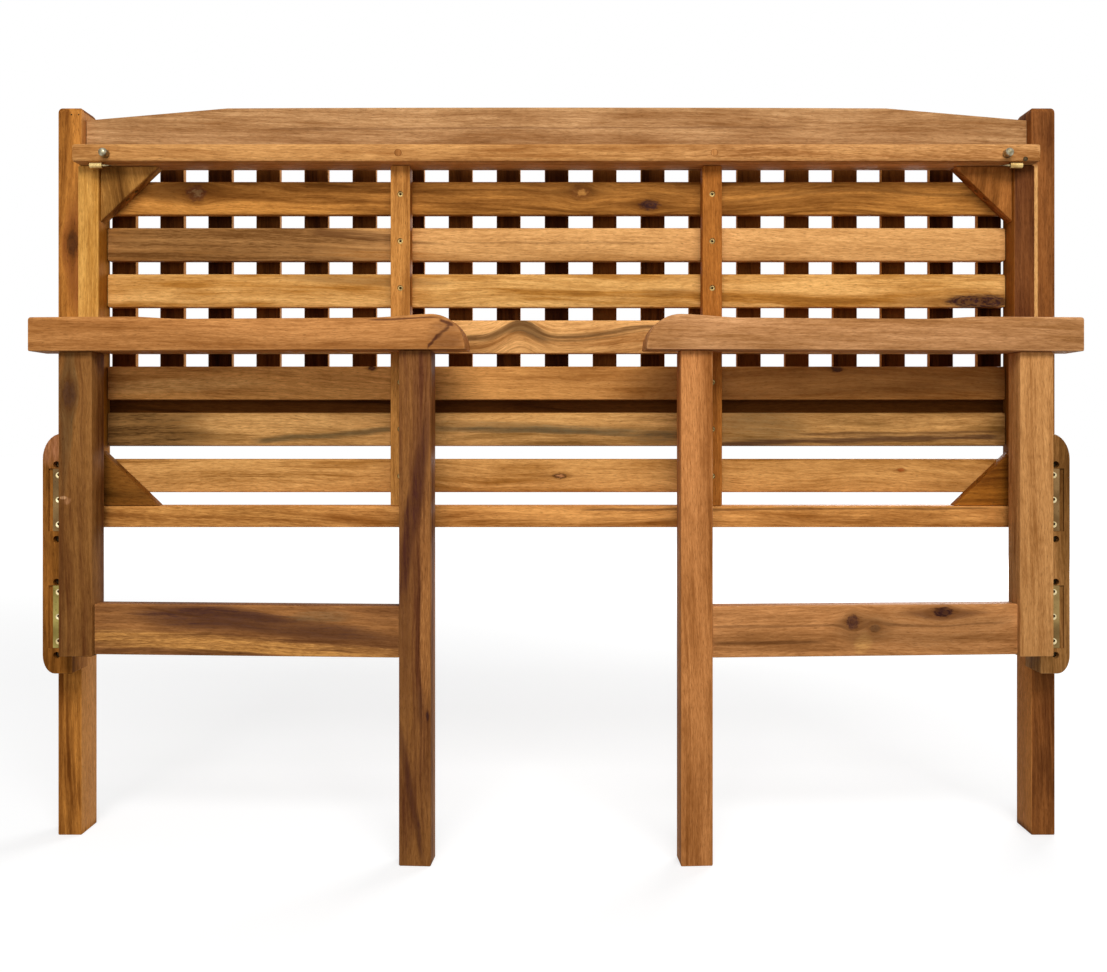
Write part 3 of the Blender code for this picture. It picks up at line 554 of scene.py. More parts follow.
def add_knots(board, colour, dark):
    """Knots with their turns, a halo and dark wings along the grain."""
    tree = board.tree
    for fields in board.knots:
        turn_along = board.along * KNOT_TURN_DENSITY
        turn_across = board.across * KNOT_TURN_DENSITY
        turns = tree.noise(tree.vector(fields.far * KNOT_TURNS, turn_along, turn_across))
        turns = tree.step(turns, *KNOT_TURN_EDGE)
        wing = (fields.wing * (0.9 - board.fibres * 2.0)).clipped()
        colour = tree.mix(wing * WING_SHARE, colour, tinted(dark, WING_TONE))
        halo = tree.step(fields.rough, *HALO_EDGE)
        colour = tree.mix(halo * HALO_SHARE, colour, tinted(dark, HALO_TONE))
        core = tree.step(fields.rough, *CORE_EDGE) * (1.0 - turns * KNOT_TURN_SHARE)
        colour = tree.mix(core, colour, fields.knot.tone)
        if fields.knot.eye:
            eye = tree.step(fields.rough, *EYE_EDGE)
            colour = tree.mix(eye * EYE_SHARE, colour, fields.knot.eye)
    return colour


# The comb lies in the seat's shade, apart from its rear
COMB_SHADE = (0.42, 0.40, 0.34)
COMB_REAR = (4.6 * MM, 6.0 * MM)


def shade_comb(board, colour):
    """The comb's front and sides in shade, and the light on the flanks of its slats."""
    outer, inner = COMB_REAR
    shaded = board.tree.step(board.deep, board.high.y - outer, board.high.y - inner)
    colour = board.tree.mix(shaded, colour, COMB_SHADE, "MULTIPLY")
    return board.tree.mix(board.flank, colour, board.comb.flank)


FIBRE_LINES = 0.5
FIBRE_MOTTLE = 0.3
FIBRE_RANGE = (0.35, 1.6)
FIBRE_POWERS = (1.25, 1.6)
PORE_SHARE = 0.5
PORE_TONE = 0.35


def add_fibres(board, colour, dark):
    """Lighter and darker fibres, and dark pores."""
    tree = board.tree
    value = 1.0 - board.fibres - board.lines * FIBRE_LINES - board.mottle * FIBRE_MOTTLE
    value = value.clipped(*FIBRE_RANGE)
    green, blue = [value.power(power) for power in FIBRE_POWERS]
    colour = tree.mix(1.0, colour, tree.vector(value, green, blue), "MULTIPLY")
    return tree.mix(board.pores * PORE_SHARE, colour, tinted(dark, PORE_TONE))


# Lighter edges: partly rubbed wear, partly a painted highlight where light catches the arrises
EDGE_WIDTH = 2.4 * MM
EDGE_RAGGED = 4 * MM
EDGE_ALONG = 30.0
EDGE_ACROSS = 200.0
EDGE_SHARE = 0.4
EDGE_TONE = 1.25


def worn_and_highlit_edges(board):
    """1 on the edges, lightened both as rubbed wear and as a painted highlight; 0 elsewhere."""
    place = board.tree.vector(board.along * EDGE_ALONG, board.across * EDGE_ACROSS, board.deep * EDGE_ACROSS)
    ragged = (board.tree.noise(place) - 0.5) * EDGE_RAGGED
    return board.tree.step(board.near_edge() + ragged, EDGE_WIDTH, 0.0)


WOOD_ROUGHNESS = 0.58
WOOD_SPECULAR = 0.03
WOOD_BUMP = 0.16 * MM


def wood(name, node, grain, light, dark, **look):
    """Oiled wood of one board.

    grain is the axis along the board, and light and dark are its two main tones. look may give
    pith (across, deep) in metres from the board's middle, tilt and wander of the grain, figure
    (strength of the rings), the share of the edges' rubbed wear and painted highlight, specular,
    a comb, and lists of knots, waves, patches, lines and stripes.
    """
    material, tree = new_material(name)
    board = Board(tree, node, grain, look)
    colour = main_tones(board, light, dark, look.get("figure", 1.0))
    colour = add_patches(board, colour, look.get("patches", ()))
    colour = add_lines(board, colour, look.get("lines", ()))
    colour = add_stripes(board, colour, look.get("stripe", ()))
    colour = add_knots(board, colour, dark)
    if board.comb:
        colour = shade_comb(board, colour)
    colour = add_fibres(board, colour, dark)
    # The edges get a lighter tone, standing for both rubbed wear and a painted highlight
    worn_and_highlit = worn_and_highlit_edges(board)
    colour = tree.mix(worn_and_highlit * look.get("wear", EDGE_SHARE), colour, tinted(light, EDGE_TONE))
    roughness = board.fibres * 0.3 + board.bands * 0.15 + worn_and_highlit * 0.05 + WOOD_ROUGHNESS
    height = board.fibres * 0.6 + board.lines * 0.3 - board.pores * 0.5
    specular = look.get("specular", WOOD_SPECULAR)
    finish_material(tree, colour, roughness, height, WOOD_BUMP, specular=specular)
    return material


METAL_CLOUD_EDGE = (0.34, 0.68)
METAL_LINES_ACROSS = 1500.0
METAL_LINES_ALONG = 120.0
METAL_SPOTS = 620.0
METAL_SPOT_EDGE = (0.6, 0.74)
METAL_SPOT_SHARE = 0.45
METAL_SPOT_TONE = 0.45
METAL_BUMP = 0.05 * MM


def metal(name, seed, tone, tarnish, cloud_size, roughness):
    """Plated or rolled metal: clouds of tarnish, fine lines, dull spots."""
    material, tree = new_material(name)
    x, y, z = tree.split(tree.place())
    cloud_place = tree.vector(x / cloud_size + seed, y / cloud_size, z / cloud_size)
    clouds = tree.step(tree.noise(cloud_place, detail=3.0), *METAL_CLOUD_EDGE)
    lines = tree.noise(tree.vector(x * METAL_LINES_ACROSS, y * METAL_LINES_ACROSS, z * METAL_LINES_ALONG))
    spot_place = tree.vector(x * METAL_SPOTS, y * METAL_SPOTS + seed, z * METAL_SPOTS)
    spots = tree.step(tree.noise(spot_place), *METAL_SPOT_EDGE)
    colour = tree.mix(clouds, tone, tarnish)
    colour = tree.mix(spots * METAL_SPOT_SHARE, colour, tinted(tarnish, METAL_SPOT_TONE))
    shine = clouds * 0.16 + lines * 0.14 + spots * 0.2 + roughness
    finish_material(tree, colour, shine, lines * 0.5 - spots, METAL_BUMP, metallic=1.0)
    return material


def dress(node, material):
    """Gives a CAD node its material."""
    mesh = NODES[node].data
    mesh.materials.clear()
    mesh.materials.append(material)


SMOOTH_DEGREES = 42.0
WELD_DISTANCE = 0.001 * MM


def soften(node):
    """Shades a CAD node smooth between its sharp edges, welded for that by a modifier."""
    mesh = NODES[node].data
    if "custom_normal" in mesh.attributes:
        mesh.attributes.remove(mesh.attributes["custom_normal"])
    spots = [tuple(round(value / WELD_DISTANCE) for value in vertex.co) for vertex in mesh.vertices]
    normals = {}
    for polygon in mesh.polygons:
        for first, second in polygon.edge_keys:
            normals.setdefault(frozenset((spots[first], spots[second])), []).append(polygon.normal.copy())
    limit = math.radians(SMOOTH_DEGREES)
    for edge in mesh.edges:
        sides = normals[frozenset(spots[vertex] for vertex in edge.vertices)]
        edge.use_edge_sharp = len(sides) > 1 and max(sides[0].angle(side) for side in sides) > limit
    for polygon in mesh.polygons:
        polygon.use_smooth = True
    weld = NODES[node].modifiers.new("weld", "WELD")
    weld.merge_threshold = WELD_DISTANCE


# Tones of the boards

PURPLE = srgb(62, 36, 32)
GREY_BROWN = srgb(104, 82, 50)
DARK_BROWN = srgb(84, 48, 22)
BROWN = srgb(134, 88, 44)

SEAT_RAIL_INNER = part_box("right_seat_rail")[0].x
BACK_SLAT_WIDTH = 29 * MM
BACK_SLAT_PITCH = 58.6 * MM
LOWER_BACK_RAIL_TOP = 542 * MM

# A board's grain, its light and dark tone, and what is special to it; the marks' places follow
# the boards that the bench was photographed with
BOARDS = {
    "left_rear_leg": ("z", srgb(201, 131, 57), srgb(121, 68, 22), {
        "knots": [Knot(0.713, -0.583, 0.014, 0.006, DARK_BROWN)],
        "stripe": [Stripe(0.0, 0.9, -0.5713, 0.0007, srgb(216, 150, 86), 0.7)],
        "patches": [Patch(0.70, -0.578, 0.06, 0.012, 0.0, srgb(130, 66, 31), 0.6)],
    }),
    "right_rear_leg": ("z", srgb(149, 90, 43), srgb(100, 55, 24), {
        "wander": 0.6,
        "stripe": [
            Stripe(0.2, 0.81, 0.5762, 0.0030, srgb(236, 176, 106), 0.95),
            Stripe(0.0, 0.5, 0.5713, 0.0010, srgb(216, 140, 72), 0.95),
        ],
    }),
    "back_top_rail": ("x", srgb(196, 148, 99), srgb(152, 104, 60), {
        "pith": (-0.09, 0.06), "wander": 0.7, "figure": 0.75,
        "lines": [Line(-0.36, 0.30, 0.853, 0.004, 0.0016, srgb(114, 72, 40), 0.5)],
    }),
    "back_slats_and_lower_rail": ("z", srgb(146, 86, 36), srgb(96, 50, 16), {
        # The comb's last tone is painted light: a glow on the flanks of its slats
        "comb": Comb(BACK_SLAT_WIDTH, BACK_SLAT_PITCH, LOWER_BACK_RAIL_TOP, srgb(214, 146, 74)),
        "specular": 0.02,
    }),
    "left_hinge_block": ("z", srgb(161, 101, 40), srgb(108, 63, 19), {
        "patches": [Patch(0.47, -0.583, 0.022, 0.02, 0.0, srgb(176, 116, 78), 0.7)],
    }),
    "right_hinge_block": ("z", srgb(174, 122, 68), srgb(122, 81, 38), {}),
    "seat_front_rail": ("x", srgb(210, 151, 88), srgb(155, 97, 44), {
        "wander": 0.7,
        "patches": [Patch(0.36, 0.81, 0.2, 0.03, 0.0, srgb(224, 164, 104), 0.45)],
    }),
    "seat_rear_rail": ("x", srgb(217, 150, 80), srgb(152, 92, 36), {
        "lines": [Line(0.02, 0.52, 0.394, 0.002, 0.0014, DARK_BROWN, 0.6)],
        "patches": [Patch(-0.42, 0.39, 0.12, 0.03, 0.0, srgb(222, 158, 84), 0.4)],
    }),
    "left_seat_rail": ("z", srgb(218, 160, 80), srgb(181, 122, 48), {
        "figure": 0.7, "wander": 0.6,
        # Painted shade: a darker stripe over the rail's inner side face, which lies in shade
        "stripe": [Stripe(0.3, 0.9, -SEAT_RAIL_INNER, 0.0008, srgb(158, 98, 26), 0.85)],
    }),
    "right_seat_rail": ("z", srgb(121, 70, 34), srgb(81, 41, 18), {
        "figure": 0.8, "wander": 0.6,
        "stripe": [Stripe(0.3, 0.9, SEAT_RAIL_INNER, 0.0008, srgb(146, 88, 30), 0.8)],
    }),
    "left_mid_support": ("z", srgb(201, 136, 67), srgb(147, 90, 35), {"wander": 0.6}),
    "right_mid_support": ("z", srgb(176, 107, 43), srgb(124, 68, 21), {"wander": 0.6}),
    "left_front_corner_block": ("z", srgb(180, 126, 60), srgb(130, 85, 35), {"tilt": 0.15}),
    "right_front_corner_block": ("z", srgb(178, 111, 52), srgb(135, 80, 32), {"tilt": -0.1}),
    "left_rear_corner_block": ("x", srgb(130, 80, 28), srgb(83, 48, 12), {"tilt": 0.05}),
    "right_rear_corner_block": ("x", srgb(156, 94, 29), srgb(109, 59, 13), {"tilt": -0.05}),
    "seat_slat_1": ("x", srgb(205, 138, 64), srgb(139, 86, 33), {
        "knots": [
            Knot(-0.4295, 0.7700, 0.0105, 0.0085, srgb(93, 50, 29), srgb(132, 98, 62)),
            Knot(0.0290, 0.7710, 0.0105, 0.0070, srgb(133, 80, 35), srgb(207, 144, 71)),
            Knot(0.1109, 0.7560, 0.011, 0.0055, PURPLE),
        ],
        "patches": [Patch(-0.46, 0.770, 0.03, 0.008, 0.0, DARK_BROWN, 0.4)],
        "lines": [Line(0.20, 0.52, 0.758, 0.03, 0.002, DARK_BROWN, 0.35)],
        "waves": [Wave(0.34, 0.09, 0.012)],
    }),
    "seat_slat_2": ("x", srgb(218, 160, 96), srgb(177, 120, 61), {
        "patches": [Patch(-0.40, 0.712, 0.19, 0.042, -0.05, srgb(112, 71, 32), 0.85)],
        "lines": [
            Line(-0.30, -0.18, 0.724, -0.06, 0.004, srgb(96, 57, 26), 0.75),
            Line(-0.14, 0.14, 0.711, 0.0, 0.0012, BROWN, 0.4),
        ],
    }),
    "seat_slat_3": ("x", srgb(229, 173, 100), srgb(181, 121, 50), {
        "knots": [Knot(0.5028, 0.6410, 0.034, 0.0075, PURPLE)],
        "patches": [
            Patch(-0.235, 0.667, 0.085, 0.006, -0.04, srgb(138, 96, 49), 0.6),
            Patch(0.13, 0.650, 0.03, 0.005, 0.0, srgb(138, 96, 49), 0.4),
        ],
    }),
    "seat_slat_4": ("x", srgb(233, 172, 104), srgb(173, 115, 59), {
        "waves": [Wave(-0.044, 0.026, 0.017), Wave(0.13, 0.08, 0.014)],
        "lines": [
            Line(-0.13, 0.16, 0.5965, 0.0, 0.0030, srgb(118, 80, 42), 0.9),
            Line(-0.10, 0.16, 0.5920, 0.0, 0.0016, srgb(136, 98, 56), 0.6),
        ],
        "patches": [Patch(-0.034, 0.5925, 0.022, 0.009, 0.0, srgb(112, 78, 44), 0.9)],
    }),
    "seat_slat_5": ("x", srgb(211, 147, 79), srgb(159, 101, 45), {
        "knots": [
            Knot(-0.22, 0.5610, 0.004, 0.0025, PURPLE),
            Knot(0.3346, 0.5600, 0.006, 0.0035, PURPLE),
        ],
        "patches": [
            Patch(0.30, 0.545, 0.26, 0.03, 0.0, srgb(146, 94, 47), 0.5),
            Patch(-0.46, 0.540, 0.09, 0.008, 0.03, srgb(216, 158, 92), 0.8),
        ],
    }),
    "seat_slat_6": ("x", srgb(205, 150, 86), srgb(142, 99, 48), {
        "patches": [
            Patch(-0.50, 0.485, 0.085, 0.03, 0.0, srgb(77, 49, 20), 0.8),
            Patch(-0.35, 0.494, 0.08, 0.010, 0.0, srgb(224, 168, 100), 0.6),
            Patch(0.00, 0.489, 0.13, 0.0055, -0.04, srgb(110, 88, 56), 0.75),
            Patch(0.122, 0.479, 0.035, 0.008, 0.1, srgb(84, 64, 40), 0.75),
            Patch(0.245, 0.486, 0.05, 0.03, 0.0, GREY_BROWN, 0.5),
        ],
        "lines": [
            Line(-0.37, -0.18, 0.473, 0.09, 0.004, GREY_BROWN, 0.85),
            Line(-0.16, 0.10, 0.491, -0.035, 0.0038, srgb(96, 76, 48), 0.6),
            Line(0.18, 0.54, 0.4715, 0.02, 0.0035, srgb(75, 45, 30), 0.85),
            Line(0.28, 0.54, 0.4825, 0.012, 0.0016, srgb(90, 56, 30), 0.7),
        ],
    }),
    "seat_slat_7": ("x", srgb(206, 147, 81), srgb(158, 102, 41), {
        "wander": 1.5,
        "knots": [
            Knot(0.4109, 0.4398, 0.0035, 0.002, srgb(160, 85, 36)),
            Knot(0.0043, 0.4327, 0.0075, 0.0030, srgb(80, 48, 24), srgb(190, 128, 78)),
        ],
        "patches": [Patch(-0.42, 0.435, 0.13, 0.03, 0.0, srgb(226, 168, 98), 0.45)],
    }),
    "left_rear_post": ("z", srgb(142, 94, 46), srgb(103, 60, 27), {
        "patches": [
            Patch(0.525, -0.552, 0.09, 0.006, 0.05, srgb(109, 79, 45), 0.7),
            Patch(0.4100, -0.5572, 0.0016, 0.0034, 0.0, srgb(214, 160, 112), 0.95),
            Patch(0.4062, -0.5524, 0.0034, 0.0034, 0.3, srgb(176, 122, 80), 0.7),
        ],
        "knots": [Knot(0.5270, -0.5515, 0.013, 0.0070, srgb(82, 52, 32))],
        "lines": [Line(0.22, 0.56, -0.558, 0.0, 0.0015, DARK_BROWN, 0.4)],
    }),
    "right_rear_post": ("z", srgb(197, 139, 81), srgb(156, 101, 50), {"wander": 0.7}),
    "left_front_leg": ("z", srgb(143, 93, 47), srgb(98, 55, 30), {
        "patches": [
            Patch(0.400, -0.156, 0.085, 0.0075, 0.135, srgb(73, 37, 26), 0.85),
            Patch(0.270, -0.167, 0.10, 0.007, 0.0, srgb(79, 42, 28), 0.4),
            Patch(0.085, -0.160, 0.070, 0.0042, -0.18, srgb(76, 40, 27), 0.85),
            Patch(0.180, -0.148, 0.020, 0.004, 0.0, srgb(84, 50, 30), 0.5),
            Patch(0.270, -0.143, 0.11, 0.006, 0.0, srgb(174, 114, 60), 0.6),
        ],
        "knots": [Knot(0.1680, -0.1405, 0.0045, 0.0014, PURPLE)],
    }),
    "right_front_leg": ("z", srgb(195, 128, 71), srgb(151, 91, 42), {"wander": 0.7}),
    "left_lower_rail": ("x", srgb(167, 111, 61), srgb(121, 76, 41), {
        "patches": [
            Patch(-0.39, 0.275, 0.075, 0.012, -0.05, srgb(72, 42, 34), 0.85),
            Patch(-0.30, 0.264, 0.10, 0.010, -0.10, srgb(88, 54, 36), 0.75),
            Patch(-0.26, 0.277, 0.03, 0.006, 0.0, srgb(120, 90, 58), 0.5),
            Patch(-0.40, 0.246, 0.20, 0.0085, -0.05, srgb(208, 146, 76), 0.85),
        ],
        "lines": [Line(-0.47, -0.36, 0.287, -0.16, 0.0012, DARK_BROWN, 0.6)],
    }),
    "right_lower_rail": ("x", srgb(196, 134, 79), srgb(144, 92, 47), {
        "knots": [
            Knot(0.3330, 0.2700, 0.0065, 0.0075, srgb(78, 46, 34)),
            Knot(0.3585, 0.2630, 0.0055, 0.0045, srgb(110, 74, 44)),
            Knot(0.4366, 0.2805, 0.0110, 0.0052, srgb(54, 28, 24)),
        ],
        "patches": [
            Patch(0.3450, 0.2490, 0.009, 0.012, 0.3, srgb(214, 156, 88), 0.7),
            Patch(0.345, 0.264, 0.030, 0.014, 0.0, srgb(124, 84, 48), 0.5),
            Patch(0.42, 0.266, 0.08, 0.020, 0.0, srgb(142, 98, 58), 0.4),
            Patch(0.44, 0.2795, 0.045, 0.0035, 0.0, srgb(96, 58, 38), 0.6),
        ],
        "lines": [
            Line(0.16, 0.31, 0.2475, 0.0, 0.002, DARK_BROWN, 0.55),
            Line(0.16, 0.52, 0.2660, 0.004, 0.0014, DARK_BROWN, 0.45),
        ],
    }),
    "left_corbel": ("z", srgb(168, 109, 55), srgb(116, 69, 30), {}),
    "right_corbel": ("z", srgb(177, 119, 64), srgb(126, 77, 36), {}),
    "left_arm": ("x", srgb(201, 137, 77), srgb(160, 100, 47), {
        "figure": 0.8, "wander": 0.6, "pith": (-0.02, 0.03),
        "lines": [
            Line(-0.21, -0.118, 0.6085, 0.03, 0.0014, srgb(85, 42, 30), 0.85),
            Line(-0.1400, -0.1270, 0.577, 1.15, 0.0024, srgb(84, 44, 28), 0.9),
            Line(-0.1320, -0.1130, 0.588, 0.7, 0.0030, srgb(90, 50, 30), 0.85),
            Line(-0.1265, -0.1090, 0.6085, -0.41, 0.0018, srgb(92, 50, 34), 0.85),
        ],
        "patches": [Patch(-0.118, 0.590, 0.018, 0.016, 0.0, srgb(137, 87, 49), 0.6)],
    }),
    "right_arm": ("x", srgb(213, 155, 103), srgb(169, 115, 66), {
        "figure": 0.7, "wander": 0.5, "pith": (-0.02, 0.03),
    }),
}

for board, (grain, light, dark, look) in BOARDS.items():
    dress(board, wood(board, board, grain, light, dark, **look))

# Metal: brass hinges, yellow zinc barrels, plain zinc pins and bolts

PLATE_SEED_STEP = 1.7
PLATE_CLOUDS = 34 * MM
PLATE_ROUGHNESS = 0.34

# Tone and tarnish of each hinge
LEAF_TONES = {
    "left_lower_hinge": (srgb(152, 138, 78), srgb(114, 100, 52)),
    "left_upper_hinge": (srgb(124, 98, 62), srgb(90, 68, 42)),
    "right_lower_hinge": (srgb(146, 122, 76), srgb(106, 84, 50)),
    "right_upper_hinge": (srgb(136, 106, 68), srgb(98, 74, 44)),
}
for hinge, (tone, tarnish) in LEAF_TONES.items():
    plate = metal(hinge, len(hinge) * PLATE_SEED_STEP, tone, tarnish, PLATE_CLOUDS, PLATE_ROUGHNESS)
    for piece in ("fixed_leaf", "moving_leaf", "pin"):
        dress(f"{hinge}_{piece}", plate)

# Name, seed, tone, tarnish, size of the tarnish clouds and roughness
YELLOW_ZINC = metal("yellow_zinc", 1.3, srgb(206, 178, 118), srgb(160, 128, 76), 9 * MM, 0.2)
ZINC = metal("zinc", 5.1, srgb(176, 168, 142), srgb(116, 106, 82), 6 * MM, 0.24)
PALE_ZINC = metal("pale_zinc", 3.7, srgb(158, 132, 82), srgb(118, 96, 58), 5 * MM, 0.34)
DARK_ZINC = metal("dark_zinc", 2.9, srgb(150, 134, 100), srgb(92, 80, 58), 3 * MM, 0.3)
SHADED_ZINC = metal("shaded_zinc", 6.1, srgb(72, 58, 38), srgb(44, 36, 24), 3 * MM, 0.4)
RECESS = metal("screw_recess", 8.3, srgb(52, 42, 28), srgb(30, 24, 16), 3 * MM, 0.45)
SCREW_BRASS = metal("screw_brass", 4.7, srgb(218, 202, 160), srgb(184, 164, 118), 9 * MM, 0.1)

for side in ("left", "right"):
    dress(f"{side}_stop_barrel", YELLOW_ZINC)
    # The stop screws get a darker zinc: partly their duller steel, partly painted shade under the rail
    dress(f"{side}_stop_screw", DARK_ZINC)
    dress(f"{side}_lock_pin", ZINC)
    dress(f"{side}_pivot_bolt", ZINC)
    dress(f"{side}_pivot_washer", ZINC)

for node in NODES:
    soften(node)


# Small hardware that has no solids: screws, plugs and nails, as turned shapes

SCREW_SIDES = 32
FRONT = Vector((0.0, -1.0, 0.0))


def facing(place, normal, roll=0.0):
    """The matrix that puts a turned shape at a place, with its top towards the normal."""
    towards = Vector(normal).to_track_quat("Z", "Y").to_matrix().to_4x4()
    return Matrix.Translation(place) @ towards @ Matrix.Rotation(roll, 4, "Z")


def add_turned(mesh, profile, matrix):
    """Adds a turned shape to a bmesh.

    profile is a list of (radius, height, material), from the foot to the middle of the top;
    a radius may be a function of the angle, and the last one is 0.
    """
    rings = []
    for radius, height, material in profile:
        points = []
        for i in range(SCREW_SIDES if radius else 1):
            angle = math.tau * i / SCREW_SIDES
            reach = radius(angle) if callable(radius) else radius
            points.append(Vector((reach * math.cos(angle), reach * math.sin(angle), height)))
        rings.append(([mesh.verts.new(matrix @ point) for point in points], material))
    for (first, _), (second, material) in zip(rings, rings[1:]):
        for i in range(SCREW_SIDES):
            j = (i + 1) % SCREW_SIDES
            corners = [first[i], first[j], second[j % len(second)], second[i % len(second)]]
            face = mesh.faces.new(list(dict.fromkeys(corners)))
            face.material_index = material
            face.smooth = True


def cross_recess(reach, half_width):
    """The outline of a cross recess, as a radius for each angle."""

    def radius(angle):
        off = (angle + math.pi / 4) % (math.pi / 2) - math.pi / 4
        return min(reach / math.cos(off), half_width / max(abs(math.sin(off)), 0.001))

    return radius


def add_screw(mesh, matrix, radius):
    """A flat domed screw head with a cross recess."""
    recess = cross_recess(radius * 0.42, radius * 0.15)
    narrow = cross_recess(radius * 0.34, radius * 0.1)
    add_turned(mesh, [
        (radius, -0.5 * MM, 0),
        (radius, 0.0, 0),
        (radius * 0.93, 0.14 * MM, 0),
        (radius * 0.75, 0.2 * MM, 0),
        (recess, 0.24 * MM, 0),
        (narrow, -0.5 * MM, 1),
        (0, -0.7 * MM, 1),
    ], matrix)


def add_sunk_screw(mesh, matrix, radius):
    """A countersunk screw in a plate: a bright dish round a dark cross recess that sits above the middle, so
    the wider bright part below is a painted highlight.
    """
    add_turned(mesh, [
        (radius * 1.03, 0.02 * MM, 0),
        (radius, 0.4 * MM, 0),
        (radius * 0.94, 0.42 * MM, 0),
        (radius * 0.6, 0.2 * MM, 0),
        (0, 0.1 * MM, 0),
    ], matrix)
    recess = cross_recess(radius * 0.4, radius * 0.11)
    # Painted highlight: the dark recess is lifted above the middle, leaving a bright crescent below it
    raised = Matrix.Translation((0.0, 0.0, radius * 0.2)) @ matrix
    add_turned(mesh, [
        (radius * 0.52, 0.06 * MM, 1),
        (radius * 0.48, 0.27 * MM, 1),
        (recess, 0.3 * MM, 1),
        (recess, 0.26 * MM, 1),
        (0, 0.24 * MM, 1),
    ], raised)


def add_plug(mesh, matrix, radius, height):
    """A flush plug, its top a little crowned."""
    add_turned(mesh, [
        (radius, -0.2 * MM, 1),
        (radius, 0.02 * MM, 1),
        (radius * 0.93, height * 0.6, 1),
        (radius * 0.86, height, 0),
        (0, height * 1.2, 0),
    ], matrix)


def make_piece(name, mesh, materials, body):
    """An object from a bmesh, riding on a body."""
    data = bpy.data.meshes.new(name)
    mesh.to_mesh(data)
    mesh.free()
    for material in materials:
        data.materials.append(material)
    piece = bpy.data.objects.new(name, data)
    bpy.context.scene.collection.objects.link(piece)
    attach(piece, body)


KNUCKLE_REACH = 4 * MM
LEAF_SCREW_OUT = 14.8 * MM
LEAF_SCREW_SPACING = 28.7 * MM
LEAF_SCREW_RADIUS = 3.5 * MM
LEAF_SCREW_ROWS = (-1, 0, 1)
FIXED_ROLL = 0.7
MOVING_ROLL = 1.1


def leaf_plate(node, axis):
    """Lowest and highest corner of a leaf's plate in its own axes, and the turn back from them."""
    _, angle = board_turn(node)
    turn = Matrix.Rotation(angle, 3, "Z")
    points = [turn @ (vertex.co - axis) + axis for vertex in NODES[node].data.vertices]
    low, high = corners_of([point for point in points if (point - axis).xy.length > KNUCKLE_REACH])
    return low, high, turn.inverted()


def leaf_screws():
    """Three countersunk screws in each leaf, on the leaf's open face."""
    for name, side in (("left", -1), ("right", 1)):
        axis = HINGE_AXES[f"{name}_side_frame"]
        fixed = bmesh.new()
        moving = bmesh.new()
        for height in ("lower", "upper"):
            low, high, _ = leaf_plate(f"{name}_{height}_hinge_fixed_leaf", axis)
            for row in LEAF_SCREW_ROWS:
                z = (low.z + high.z) / 2 + row * LEAF_SCREW_SPACING
                place = (axis.x + side * LEAF_SCREW_OUT, low.y, z)
                add_sunk_screw(fixed, facing(place, FRONT, row * FIXED_ROLL + side), LEAF_SCREW_RADIUS)
            low, high, back = leaf_plate(f"{name}_{height}_hinge_moving_leaf", axis)
            outer = low.x if side < 0 else high.x
            normal = back @ Vector((side, 0.0, 0.0))
            for row in LEAF_SCREW_ROWS:
                z = (low.z + high.z) / 2 + row * LEAF_SCREW_SPACING
                place = back @ (Vector((outer, axis.y - LEAF_SCREW_OUT, z)) - axis) + axis
                add_sunk_screw(moving, facing(place, normal, row * MOVING_ROLL), LEAF_SCREW_RADIUS)
        metals = [SCREW_BRASS, RECESS]
        make_piece(f"{name}_fixed_leaf_screws", fixed, metals, "back_frame")
        make_piece(f"{name}_moving_leaf_screws", moving, metals, f"{name}_side_frame")


BLOCK_SCREW_X = 0.5814
BLOCK_SCREW_HEIGHTS = (0.2251, 0.3103, 0.3601, 0.4470)
BLOCK_SCREW_DEPTH = 7.0 * MM
BLOCK_SCREW_RADIUS = 3.5 * MM
BLOCK_ROLL = 0.9
SUPPORT_X = 0.183
SUPPORT_SCREW_DEPTH = 1.3 * MM
SUPPORT_SCREW_RADIUS = 3.45 * MM
SUPPORT_ROLL = 0.8
SEAT_SLATS = range(1, 8)


def wood_screws():
    """Screws at the foot of the holes in the hinge blocks and the mid supports."""
    mesh = bmesh.new()
    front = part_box("left_hinge_block")[0].y
    for side in (-1, 1):
        for number, z in enumerate(BLOCK_SCREW_HEIGHTS):
            place = (side * BLOCK_SCREW_X, front + BLOCK_SCREW_DEPTH, z)
            add_screw(mesh, facing(place, FRONT, number * BLOCK_ROLL + side), BLOCK_SCREW_RADIUS)
    make_piece("hinge_block_screws", mesh, [SHADED_ZINC, RECESS], "back_frame")
    mesh = bmesh.new()
    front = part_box("left_mid_support")[0].y
    for side in (-1, 1):
        for number in SEAT_SLATS:
            low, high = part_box(f"seat_slat_{number}")
            place = (side * SUPPORT_X, front + SUPPORT_SCREW_DEPTH, (low.z + high.z) / 2)
            add_screw(mesh, facing(place, FRONT, number * SUPPORT_ROLL + side), SUPPORT_SCREW_RADIUS)
    make_piece("slat_screws", mesh, [PALE_ZINC, RECESS], "seat")


PLUG_RADIUS = 4.2 * MM
PLUG_HEIGHT = 0.12 * MM
PLUG_Z = 0.808
RAIL_SCREW_PLACE = (0.5429, 0.8008)
RAIL_SCREW_RADIUS = 2.7 * MM
LEG_NAILS = ((-0.5838, 0.8672), (-0.5752, 0.8672))
LEG_NAIL_RADIUS = 0.9 * MM


